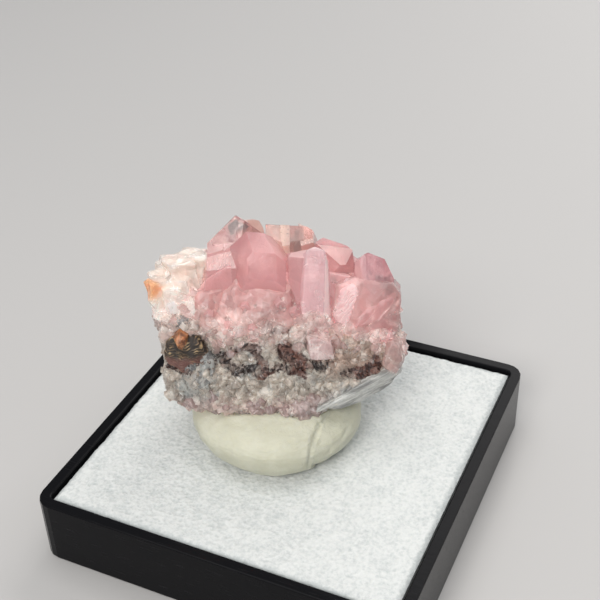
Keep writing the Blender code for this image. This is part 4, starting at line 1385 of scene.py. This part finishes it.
def takes_grains(centre, normal):
    """Whether a place on the rock takes grains."""
    in_front = normal.y < 0.3
    on_facet = centre.x > FACET_LEFT and centre.z < np.interp(centre.x, *zip(*FACET_LINE)) and in_front
    on_end = centre.x > END_LEFT and END_LOW < centre.z < END_HIGH and in_front
    underneath = centre.x > UNDERSIDE_LEFT and normal.z < -0.55
    return centre.z < crystal_foot(centre.x) + 0.6 and not on_facet and not on_end and not underneath


# %% Rock grains
COARSE_COUNT, COARSE_SIZES, COARSE_SINK = 2150, (0.34, 0.86), -0.20
FINE_COUNT, FINE_SIZES, FINE_SINK = 3600, (0.12, 0.30), -0.15
COARSE_EDGE = 0.075
GRAINS_PER_BLOCK_GRAIN = 22
SMALLER_IN_OXIDE = 0.62


def rock_grain_places(count, sizes, sink, draw):
    """Places for grains all over the rock below the crystals."""
    places = []
    on_blocks = places_on(blocks, count // GRAINS_PER_BLOCK_GRAIN, draw, lambda _, normal: normal.y < 0.2)
    for centre, normal in places_on(rock, count, draw, takes_grains) + on_blocks:
        size = draw.uniform(*sizes) * (SMALLER_IN_OXIDE if oxide_at(centre)[0] > 0.1 else 1.0)
        sides = Matrix.Diagonal((size * draw.uniform(0.8, 1.3), size, size * draw.uniform(0.7, 1.1), 1))
        places.append((Matrix.Translation(centre + normal * size * sink) @ turned_at_random(draw) @ sides,
                       draw.random()))
    return places


draw = random.Random(5)
coarse_places = rock_grain_places(COARSE_COUNT, COARSE_SIZES, COARSE_SINK, draw)
coarse = joined_copies("coarse_grains", GRAIN_SHAPES, coarse_places, draw)
fine_places = rock_grain_places(FINE_COUNT, FINE_SIZES, FINE_SINK, draw)
fine = joined_copies("fine_grains", GRAIN_SHAPES, fine_places, draw)
worn_edges(coarse, COARSE_EDGE, 1)
only(coarse)
bpy.ops.object.shade_smooth()

# %% [markdown]
# ## Druse
# Where rock turns to crystal, and between the feet of the big crystals, the calcite is a crust of
# small broken crystals. Five of them are cut from prisms, and copies are set into the surfaces of
# the rock and the crystals over a band that runs all the way round. Each leans between the way its
# surface faces and the way the big crystals grow, as crowded crystals do. More chips gather round
# the foot of the upright. Some large ones at the rock's foot are remeshed together, because there
# the real ones have merged into lumps.

# %% Druse shapes
def druse_shape(draw):
    """A short prism with cleavage faces at its end and one broken corner."""
    tip = (0.1 * draw.gauss(0, 1), 0.1 * draw.gauss(0, 1), 0.7)
    crystal = prism((0, 0, -0.7), tip, 0.9, draw.uniform(0, 60))
    edit(crystal)
    facing = Vector((draw.gauss(0, 1), draw.gauss(0, 1), draw.uniform(0.2, 1))).normalized()
    slice_off(facing * draw.uniform(0.30, 0.45), facing)
    done()
    return as_shape(crystal)


DRUSE_KINDS = 5
draw = random.Random(23)
DRUSE_SHAPES = [druse_shape(draw) for _ in range(DRUSE_KINDS)]
print("druse faces:", [len(faces) for _, faces in DRUSE_SHAPES])

# %% Places for druse
GROWTH = Vector((0, -0.25, 1)).normalized()
DRUSE_ASTRAY = 0.30


def druse_places(piece, count, sizes, wanted, draw, sink=0.0):
    """Places for small crystals that lean between a surface's own way and the way the big ones grow."""
    places = []
    for centre, normal in places_on(piece, count, draw, wanted):
        size = draw.uniform(*sizes)
        lean = normal * draw.uniform(0.3, 1.2) + GROWTH * draw.uniform(0.2, 1.0)
        lean += any_way(draw) * DRUSE_ASTRAY
        upright = lean.to_track_quat("Z", "X").to_matrix().to_4x4()
        turn = Matrix.Rotation(draw.uniform(0, math.tau), 4, "Z")
        sides = Matrix.Diagonal((size, size * draw.uniform(0.7, 1.2), size * draw.uniform(0.7, 1.3), 1))
        place = Matrix.Translation(centre + normal * size * sink) @ upright @ turn @ sides
        places.append((place, draw.random()))
    return places


# %% Tests for where druse grows
def in_band(below, above):
    """A test for places a little below and above the height where rock gives way to crystals."""
    return lambda centre, normal: -below < centre.z - crystal_foot(centre.x) < above


def at_the_foot(centre, normal):
    """Whether a place is low on the rock's front."""
    return centre.x < 3.2 and centre.z < 1.2 and centre.y < 2.5 and normal.y < 0


def low_on_the_pale(centre, normal):
    """Whether a place is low on the pale calcite, where its lower edge climbs to the right."""
    return centre.z < 9.3 + max(0.0, 1.1 * (centre.x + 8.05))


# %% Druse band
UPRIGHT_FOOT_COUNT = 46
BAND_EDGE = 0.03
FOOT_VOXEL = 0.085
crystal_skin = copy_of("crystal_cluster", "crystal_skin")
off_the_tray(crystal_skin)
draw = random.Random(31)
band_places = druse_places(rock, 340, (0.45, 0.95), in_band(1.3, 0.6), draw)
band_places += druse_places(crystal_skin, 260, (0.45, 1.0), in_band(0.4, 1.2), draw)
foot_places = druse_places(rock, 40, (1.0, 1.8), at_the_foot, draw, -0.32)
chip_places = druse_places(crystal_skin, 760, (0.12, 0.34), in_band(0.6, 2.9), draw)
chip_places += druse_places(rock, 420, (0.16, 0.45), in_band(1.8, 0.6), draw)
pale_skin = copy_of("pale_calcite", "pale_skin")
off_the_tray(pale_skin)
band_places += druse_places(
    pale_skin, 100, (0.4, 0.9), lambda centre, normal: centre.x > -9.3 and low_on_the_pale(centre, normal),
    draw, -0.3)
chip_places += druse_places(pale_skin, 120, (0.2, 0.4), low_on_the_pale, draw, -0.1)
bpy.data.objects.remove(pale_skin)
band = joined_copies("druse_band", DRUSE_SHAPES, band_places, draw)
for _ in range(UPRIGHT_FOOT_COUNT):
    at = Vector((draw.uniform(1.6, 4.1), draw.uniform(-0.95, -0.65), draw.uniform(7.5, 8.7)))
    size = draw.uniform(0.25, 0.75)
    turn = turned_at_random(draw)
    chip_places.append((Matrix.Translation(at) @ turn @ Matrix.Scale(size, 4), draw.random()))
chips = joined_copies("druse_chips", DRUSE_SHAPES, chip_places, draw)
foot = joined_copies("foot_crystals", DRUSE_SHAPES, foot_places, draw)
bpy.data.objects.remove(crystal_skin)

# %% Finish the druse
worn_edges(band, BAND_EDGE, 1)
remeshed(foot, FOOT_VOXEL)
smoothed(foot, 5)
raised(foot, "CLOUDS", 0.5, 0.10, noise_depth=2)
for piece, finish in ((band, "druse_calcite"), (chips, "druse_calcite"), (foot, "mauve_calcite")):
    finish_in_cluster(piece, calcite[finish])

# %% [markdown]
# ## Materials of the blocks and the facet
# The blocks are calcite without cobalt, so they use the same material with grey tints and no depth
# colour. The facet gets a material of its own, because its streaks run along it, while every
# calcite's growth lines run up the specimen.

# %% Blue-grey blocks
blue_grey = crystal_material("blue_grey_calcite", (0.22, 0.225, 0.225), (0.46, 0.465, 0.45),
                             0.30, 0.10, 0.5, 0.6, 0)
into_place(blocks)
finish_piece(blocks, blue_grey, ("matrix",), True)

# %% Streaked grey calcite
STREAKED_DARK, STREAKED_PALE = (0.28, 0.28, 0.27, 1), (0.62, 0.62, 0.59, 1)
facet_material, facet_shader = principled(
    "streaked_grey_calcite", Subsurface_Weight=0.7, Subsurface_Scale=0.0004,
    Subsurface_Radius=(1.0, 0.95, 0.9), Transmission_Weight=0.15, IOR=1.55)
tree = facet_material.node_tree
place = position_in(tree, stone_space)
laid = stretched(tree, place, (1, 1, 1), (0, math.radians(25), 0))
streaks = clouds(tree, stretched(tree, laid, (0.28, 1.2, 2.6)), 1.0, 4.0, 0.6)
fine_streaks = clouds(tree, stretched(tree, laid, (0.9, 2.0, 9.0)), 1.0, 3.0, 0.6)
mixed = sum_of(tree, "MULTIPLY_ADD", fine_streaks, 0.16, streaks)
colour = blend(tree, step_between(tree, mixed, 0.44, 0.66), STREAKED_DARK, STREAKED_PALE)
tree.links.new(colour, facet_shader.inputs["Base Color"])
tree.links.new(step_between(tree, fine_streaks, 0.3, 0.7, 0.16, 0.42), facet_shader.inputs["Roughness"])
relief(tree, facet_shader, mixed, 0.00008, 0.5)
into_place(facet)
finish_piece(facet, facet_material, ("matrix",))

# %% [markdown]
# ## Rock material
# Grains of calcite let a little light in, so the rock has subsurface scattering and small glints.
# Its colour drifts from beige to grey, with pink where the cobalt reached it at the top and the
# foot, brown at its right and a pale underside. Noise decides where most of these begin, since a
# stone has no straight borders. The oxide comes last and covers the rest: a stain with a ragged
# edge, and dark strands that wind through it.

# %% Rock colours
BEIGE_DARK, BEIGE_PALE = (0.42, 0.36, 0.31, 1), (0.63, 0.57, 0.50, 1)
ROCK_GREY = (0.37, 0.375, 0.36, 1)
ROCK_PINK = (0.68, 0.51, 0.47, 1)
ROCK_BROWN = (0.44, 0.29, 0.23, 1)
UNDER_GREY = (0.60, 0.60, 0.60, 1)
PALE_GRAIN, DARK_GRAIN = (0.78, 0.74, 0.68, 1), (0.26, 0.22, 0.19, 1)
STAIN_BROWN, STAIN_RED = (0.11, 0.075, 0.062, 1), (0.19, 0.065, 0.045, 1)
STRAND_BROWN, STRAND_RED = (0.022, 0.018, 0.017, 1), (0.055, 0.020, 0.015, 1)


def partly(tree, amount, share, colour, tint):
    """Blend in a tint by a share of an amount."""
    return blend(tree, sum_of(tree, "MULTIPLY", amount, share), colour, tint)


def rock_colour(tree, place):
    """Beige lumps that drift to grey, with pink, brown and a pale underside."""
    across, height = part_of(tree, place, "X"), part_of(tree, place, "Z")
    broad = clouds(tree, place, 0.35, 3.0, 0.6)
    small = clouds(tree, place, 1.6, 4.0, 0.6)
    colour = blend(tree, step_between(tree, small, 0.35, 0.65), BEIGE_DARK, BEIGE_PALE)
    lumps = step_between(tree, clouds(tree, place, 0.75, 2.0, 0.5), 0.32, 0.62, 0.74, 1.16)
    colour = blend(tree, 1.0, colour, lumps, "MULTIPLY")
    colour = blend(tree, step_between(tree, broad, 0.52, 0.62), colour, ROCK_GREY)
    pink_top = step_between(tree, sum_of(tree, "MULTIPLY_ADD", broad, 4.0, height), 7.1, 9.1)
    pink_foot = step_between(tree, sum_of(tree, "MULTIPLY_ADD", small, 2.5, height), 3.1, 1.6)
    colour = partly(tree, sum_of(tree, "MAXIMUM", pink_top, pink_foot), 0.75, colour, ROCK_PINK)
    brown_height = step_between(tree, sum_of(tree, "MULTIPLY_ADD", small, 2.0, height), 3.6, 4.6)
    brown = sum_of(tree, "MULTIPLY", step_between(tree, across, 2.5, 4.5), brown_height)
    colour = partly(tree, brown, 0.6, colour, ROCK_BROWN)
    under = step_between(tree, sum_of(tree, "MULTIPLY_ADD", across, -0.42, height), 0.4, -0.6)
    return partly(tree, under, 0.6, colour, UNDER_GREY)


def tinted_grains(tree, colour):
    """Make some grains paler and some darker, by the tint that each one keeps."""
    tint = kept(tree, "tint")
    colour = blend(tree, step_between(tree, tint, 0.60, 1.0, 0.0, 0.6), colour, PALE_GRAIN)
    return blend(tree, step_between(tree, tint, 0.40, 0.0, 0.0, 0.6), colour, DARK_GRAIN)


def with_oxide(tree, place, colour):
    """Cover a colour with the oxide's ragged stain and its winding strands."""
    redness = kept(tree, "redness")
    ragged = clouds(tree, place, 1.9, 5.0, 0.75, 1.2)
    spread = sum_of(tree, "MULTIPLY_ADD", ragged, 1.5, kept(tree, "oxide"))
    strength = sum_of(tree, "MULTIPLY", step_between(tree, spread, 1.08, 1.40),
                      sum_of(tree, "MULTIPLY_ADD", redness, 0.40, 0.50))
    colour = blend(tree, strength, colour, blend(tree, redness, STAIN_BROWN, STAIN_RED))
    winding = clouds(tree, place, 0.95, 3.0, 0.5, 1.6)
    off_line = sum_of(tree, "ABSOLUTE", sum_of(tree, "SUBTRACT", winding, 0.5))
    strands = sum_of(tree, "MULTIPLY", step_between(tree, off_line, 0.070, 0.030),
                     step_between(tree, spread, 1.00, 1.32))
    return blend(tree, strands, colour, blend(tree, redness, STRAND_BROWN, STRAND_RED))


# %% Rock material
def rock_material(name, grain_tints):
    """Rock, for the skin or for grains that have a tint of their own."""
    material, shader = principled(
        name, Subsurface_Weight=0.8, Subsurface_Scale=0.0006, Subsurface_Radius=(1.0, 0.9, 0.85), IOR=1.55,
        Transmission_Weight=0.25)
    tree = material.node_tree
    place = position_in(tree, stone_space)
    colour = rock_colour(tree, place)
    if grain_tints:
        colour = tinted_grains(tree, colour)
    tree.links.new(with_oxide(tree, place, colour), shader.inputs["Base Color"])
    gloss = clouds(tree, place, 3.4, 2.0, 0.5)
    tree.links.new(step_between(tree, gloss, 0.35, 0.65, 0.16, 0.62), shader.inputs["Roughness"])
    crumbs = sum_of(tree, "ADD", clouds(tree, place, 7.0, 4.0, 0.65), cells(tree, place, 3.2))
    relief(tree, shader, crumbs, 0.00010, 0.5)
    print("material", name)
    return material


rock_skin = rock_material("granular_rock_skin", False)
rock_grains = rock_material("granular_rock_grains", True)
for piece, material in ((rock, rock_skin), (coarse, rock_grains), (fine, rock_grains)):
    mark_oxide(piece)
    into_place(piece)
    finish_piece(piece, material, ("matrix",), piece is not rock)

# %% [markdown]
# ## Iron oxide nodule
# A fibrous brown lump with curved ridges, like the grain of split wood, is let into the rock's front
# left. The fibres run round a rusty grain in drawn-out rings, so one function gives their height
# from the distance to it. The height moves the skin, and is kept for the material, which paints
# shade into the gaps between the fibres. Tan patches on the crests are painted golden glints.

# %% Nodule
RUSTY_SPOT = Vector((-7.9, -0.6, 6.7))
FIBRE_GAP = 0.19
FIBRE_RISE = 0.12
FIBRE_LEVEL = 0.4
NODULE_VOXEL = 0.06


def fibre_at(point):
    """How high the fibres stand at a point: they run round the rusty grain in drawn-out rings."""
    away = point - RUSTY_SPOT
    ring = math.sqrt((away.x / 2.2) ** 2 + (away.y / 1.5) ** 2 + away.z ** 2)
    ring += 0.30 * noise.noise(point * 1.2) + 0.10 * noise.noise(point * 3.6)
    phase = ring / FIBRE_GAP % 1.0
    return (1 - abs(2 * phase - 1)) * (0.55 + 0.6 * noise.noise(point * 2.2 + Vector((5, 5, 5))))


nodule = copy_of("oxide_nodule", "iron_oxide_nodule")
off_the_tray(nodule)
remeshed(nodule, NODULE_VOXEL)
raised(nodule, "CLOUDS", 0.9, 0.45, noise_depth=1)
fibres = [fibre_at(vertex.co) for vertex in nodule.data.vertices]
for (vertex, normal), fibre in zip(with_outward(nodule), fibres):
    vertex.co += normal * FIBRE_RISE * (fibre - FIBRE_LEVEL)
keep_values(nodule.data, "fibre", fibres)
spot_front = min(vertex.co.y for vertex in nodule.data.vertices
                 if math.hypot(vertex.co.x - RUSTY_SPOT.x, vertex.co.z - RUSTY_SPOT.z) < 0.5)
print("nodule's front at the rusty grain:", round(spot_front, 2), "mm")

# %% Nodule material
CREST_BROWN, CREST_GLINT_TAN = (0.15, 0.095, 0.050, 1), (0.46, 0.33, 0.18, 1)
FIBRE_SHADE = (0.018, 0.011, 0.007, 1)
NODULE_FOOT = (0.20, 0.085, 0.070, 1)
oxide_material, oxide_shader = principled("fibrous_iron_oxide", Specular_IOR_Level=0.7)
tree = oxide_material.node_tree
place = position_in(tree, stone_space)
fibre = kept(tree, "fibre")
patches = clouds(tree, place, 1.3, 4.0, 0.6, 0.5)
# Painted shade fills the gaps between the fibres, and the tan patches on the crests are painted golden
# glints.
crest = blend(tree, step_between(tree, patches, 0.42, 0.62), CREST_BROWN, CREST_GLINT_TAN)
colour = blend(tree, step_between(tree, fibre, 0.15, 0.65), FIBRE_SHADE, crest)
low = sum_of(tree, "ADD", part_of(tree, place, "Z"), patches)
colour = blend(tree, step_between(tree, low, 5.9, 5.2, 0.0, 0.75), colour, NODULE_FOOT)
tree.links.new(colour, oxide_shader.inputs["Base Color"])
tree.links.new(step_between(tree, fibre, 0.0, 1.0, 0.55, 0.28), oxide_shader.inputs["Roughness"])
relief(tree, oxide_shader, clouds(tree, place, 9.0, 4.0, 0.7), 0.00008, 0.7)
into_place(nodule)
finish_piece(nodule, oxide_material, ("oxide_nodule",))

# %% [markdown]
# ## The rusty grain
# A grain of calcite at the middle of the rings has been stained orange. The nodule's front was
# measured above, so the grain can be set into it at the right depth, however the skin was raised.

# %% Rusty grain on the nodule
RUSTY_DARK, RUSTY_ORANGE = (0.14, 0.050, 0.022, 1), (0.52, 0.24, 0.11, 1)
RUSTY_GRAIN = {
    "outline": ((-7.45, 7.0), (-8.05, 7.15), (-8.35, 6.75), (-8.15, 6.1), (-7.8, 5.85), (-7.5, 6.3)),
    "spread": (14, 12, 20, 14, 14, 18), "depth": spot_front, "back": spot_front + 1.6,
    "faces": (((-7.9, spot_front - 0.12, 6.9), (-0.15, -1, 0.35)),
              ((-7.8, spot_front - 0.10, 6.4), (0.45, -1, -0.25))),
}
rusty = outlined_crystal("rusty_grain", RUSTY_GRAIN)
broken(rusty, 0.05, 0.5, 0.14, 0.12)
rusty_material, rusty_shader = principled(
    "rusty_calcite", Subsurface_Weight=0.8, Subsurface_Scale=0.0005, Subsurface_Radius=(1.0, 0.5, 0.3),
    Roughness=0.32)
tree = rusty_material.node_tree
place = position_in(tree, stone_space)
patches = clouds(tree, place, 2.0, 5.0, 0.7)
colour = blend(tree, step_between(tree, patches, 0.38, 0.62), RUSTY_DARK, RUSTY_ORANGE)
tree.links.new(colour, rusty_shader.inputs["Base Color"])
relief(tree, rusty_shader, patches, 0.00008, 0.6)
into_place(rusty)
finish_piece(rusty, rusty_material, ("oxide_nodule",))

# %% [markdown]
# ## Pale calcite
# The white to peach calcite at the left broke into coarse facets, with an orange stain at its end.
# Its skin is raised in broad lumps and then broken harder than any other, so few facets are left
# and each is large enough to catch the light by itself.

# %% Pale calcite
PEACH_DEPTH = (0.98, 0.84, 0.76, 1)
ORANGE_STAIN = ((-10.0, -0.1, 10.9), 1.0, (0.80, 0.40, 0.20, 1))
pale = copy_of("pale_calcite", "pale_calcite_mass")
off_the_tray(pale)
broken(pale, 0.10, 1.9, 1.0, 0.022)
pale_material = crystal_material(
    "pale_calcite_cleavage", (0.80, 0.69, 0.62), (0.97, 0.93, 0.88), 0.30, 0.05, 0.85, 0.30, 40,
    depth_tint=PEACH_DEPTH, stain=ORANGE_STAIN)
into_place(pale)
finish_piece(pale, pale_material, ("pale_calcite",), True)

# %% [markdown]
# ## Putty
# The putty was rolled and pressed by hand. It keeps soft lumps and faint ripples from the fingers,
# and a crease at the right where it folded over itself. Remeshing and smoothing take the solid's
# flat facets away first. The crease is deep enough to cast a shadow, so it is pressed into the mesh.

# %% Putty
PUTTY_VOXEL = 0.14
putty = copy_of("mounting_putty", "mounting_putty_mound")
putty.data.transform(Matrix.Scale(1 / MM, 4))
remeshed(putty, PUTTY_VOXEL)
smoothed(putty, 24)
raised(putty, "CLOUDS", 2.6, 0.25, noise_depth=1)
raised(putty, "CLOUDS", 0.8, 0.08, noise_depth=2)

print("putty skin:", len(putty.data.polygons), "faces")

# %% The putty's creases: points in the tray's millimetres, and depth
CREASES = (
    (((3.5, -4.6, 6.0), (3.94, -5.1, 8.3), (3.84, -4.6, 9.3), (3.75, -3.6, 9.8), (3.64, -2.5, 10.1)), 0.30),
    (((5.0, -3.5, 8.0), (5.2, -3.3, 8.6), (5.6, -2.1, 8.7), (5.6, -0.9, 9.1)), 0.13),
    (((-3.9, -6.0, 9.6), (-2.6, -6.4, 9.9)), 0.10),
)
CREASES = [([Vector(point) for point in path], depth) for path, depth in CREASES]
CREASE_WIDTH = 0.24
FOLD_DROP = 0.30
FOLD_REACH = 2.2
FOLD_LIP = 0.5
PUTTY_FRONT = 1.5


def gap_to_path(point, path):
    """How far a point lies from a path, and where on the path it is nearest."""
    best = (math.inf, path[0])
    for start, end in zip(path, path[1:]):
        along = max(0.0, min(1.0, (point - start).dot(end - start) / (end - start).length_squared))
        near = start.lerp(end, along)
        best = min(best, ((point - near).length, near), key=lambda pair: pair[0])
    return best


for vertex, normal in with_outward(putty):
    if vertex.co.y < PUTTY_FRONT:
        for path, depth in CREASES:
            gap, near = gap_to_path(vertex.co, path)
            vertex.co -= normal * depth * math.exp(-(gap / CREASE_WIDTH) ** 2)
        gap, near = gap_to_path(vertex.co, CREASES[0][0])
        if vertex.co.x > near.x:
            vertex.co -= normal * FOLD_DROP * math.exp(-(gap / FOLD_REACH) ** 2) * min(1.0, gap / FOLD_LIP)
smoothed(putty, 1)
putty.data.transform(Matrix.Scale(MM, 4))
print("creases pressed into the putty:", len(CREASES))

# %% Putty material
PUTTY_DARK, PUTTY_PALE = (0.56, 0.555, 0.435, 1), (0.64, 0.635, 0.515, 1)
putty_material, putty_shader = principled(
    "pressed_putty", Subsurface_Weight=0.35, Subsurface_Scale=0.0006, Subsurface_Radius=(1.0, 0.9, 0.6))
tree = putty_material.node_tree
place = position_in(tree, tray_space)
patches = clouds(tree, place, 0.5, 4.0, 0.6)
colour = blend(tree, step_between(tree, patches, 0.3, 0.7), PUTTY_DARK, PUTTY_PALE)
tree.links.new(colour, putty_shader.inputs["Base Color"])
tree.links.new(step_between(tree, patches, 0.3, 0.7, 0.48, 0.66), putty_shader.inputs["Roughness"])
ripples = clouds(tree, stretched(tree, place, (0.5, 0.5, 3.2)), 1.0, 3.0, 0.6, 0.8)
pressed = sum_of(tree, "MULTIPLY_ADD", clouds(tree, place, 3.0, 5.0, 0.6), 0.7, ripples)
relief(tree, putty_shader, pressed, 0.00014, 0.7)
finish_piece(putty, putty_material, ("mounting_putty",))

# %% [markdown]
# ## Foam pad
# White foam with a torn, crumbly skin lies in the tray, a little rounded where it meets the wall.
# Only its top is seen, so the top alone is a fine grid. Three textures raise it: pores, broad waves
# and crumbs. How far each corner sank is kept as an attribute, and the material paints shade into
# the hollows from it, greyer the deeper they sink. The sides are then pulled down from the grid's
# border, and a bottom closes the piece.

# %% Foam
foam_low, foam_high = (Vector(corner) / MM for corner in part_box("foam_pad"))
FOAM_CELLS = 296
FOAM_PORE = 0.36
FOAM_EDGE = 0.6
FOAM_EDGE_DROP = 0.25
print("foam pad", [round(v, 2) for v in (*foam_low, *foam_high)], "mm")
bpy.ops.object.select_all(action="DESELECT")
bpy.ops.mesh.primitive_grid_add(
    x_subdivisions=FOAM_CELLS, y_subdivisions=FOAM_CELLS, size=1,
    location=((foam_low + foam_high) / 2).to_2d().to_3d() + Vector((0, 0, foam_high.z)))
foam = bpy.context.object
foam.name = "foam_pad_skin"
foam.scale = (foam_high.x - foam_low.x, foam_high.y - foam_low.y, 1)
bpy.ops.object.transform_apply(location=True, rotation=True, scale=True)
raised(foam, "VORONOI", FOAM_PORE, 0.10, 0.6)
raised(foam, "CLOUDS", 1.3, 0.14, noise_depth=2)
raised(foam, "CLOUDS", 0.22, 0.05, 0.5, noise_depth=1)
for vertex in foam.data.vertices:
    inside = min(foam_high.x - abs(vertex.co.x), foam_high.y - abs(vertex.co.y))
    vertex.co.z -= FOAM_EDGE_DROP * max(0.0, 1 - inside / FOAM_EDGE) ** 2
heights = [vertex.co.z - foam_high.z for vertex in foam.data.vertices]
keep_values(foam.data, "hollow", heights)
print("foam hollows from", round(min(heights), 2), "to", round(max(heights), 2), "mm")

# %% Foam sides
edit(foam)
bpy.ops.mesh.select_mode(type="EDGE")
bpy.ops.mesh.select_all(action="DESELECT")
bpy.ops.mesh.select_non_manifold()
bpy.ops.mesh.extrude_edges_move()
bpy.ops.transform.resize(value=(1, 1, 0), center_override=(0, 0, foam_low.z))
bpy.ops.mesh.edge_face_add()
done()
foam.data.transform(Matrix.Scale(MM, 4))
print("foam:", len(foam.data.polygons), "faces")

# %% Foam material
FOAM_HOLLOW_SHADE, FOAM_CRUMB = (0.52, 0.55, 0.545, 1), (0.70, 0.715, 0.70, 1)
foam_material, foam_shader = principled(
    "open_cell_foam", Subsurface_Weight=0.5, Subsurface_Scale=0.0003, Subsurface_Radius=(1.0, 1.0, 1.0),
    Roughness=0.8)
tree = foam_material.node_tree
place = position_in(tree, tray_space)
crumb = clouds(tree, place, 3.4, 3.0, 0.7)
# Painted shade: the deeper a corner sank, in the pores and where the edge drops at the wall, the greyer it
# is, with crumbs breaking it up.
shade = step_between(tree, sum_of(tree, "MULTIPLY_ADD", crumb, 0.42, kept(tree, "hollow")), 0.05, 0.28)
colour = blend(tree, shade, FOAM_HOLLOW_SHADE, FOAM_CRUMB)
tree.links.new(colour, foam_shader.inputs["Base Color"])
relief(tree, foam_shader, clouds(tree, place, 6.0, 3.0, 0.6), 0.00006, 0.5)
finish_piece(foam, foam_material, ("foam_pad",))

# %% [markdown]
# ## Tray
# The tray is moulded from black plastic with a gloss, and its rim catches the light. Its solid
# already has the right shape, so it stays the visible piece and only its material changes. Faint
# scuffs vary the gloss, because a perfectly even one looks like glass.

# %% Tray
TRAY_BLACK, TRAY_SCUFF = (0.006, 0.006, 0.007, 1), (0.020, 0.020, 0.022, 1)
tray_material, tray_shader = principled("glossy_black_plastic", IOR=1.28, Specular_IOR_Level=0.2)
tree = tray_material.node_tree
place = position_in(tree, tray_space)
scuffs = clouds(tree, stretched(tree, place, (0.4, 6.0, 3.0), (0, 0, 0.6)), 1.5, 4.0, 0.6)
colour = blend(tree, step_between(tree, scuffs, 0.62, 0.80), TRAY_BLACK, TRAY_SCUFF)
tree.links.new(colour, tray_shader.inputs["Base Color"])
tree.links.new(step_between(tree, scuffs, 0.35, 0.75, 0.10, 0.32), tray_shader.inputs["Roughness"])
relief(tree, tray_shader, clouds(tree, place, 0.35, 1.0), 0.00005, 0.2)
tray = nodes["display_tray"]
for slot in tray.material_slots:
    slot.material = tray_material
print("tray material on", len(tray.material_slots), "slot")
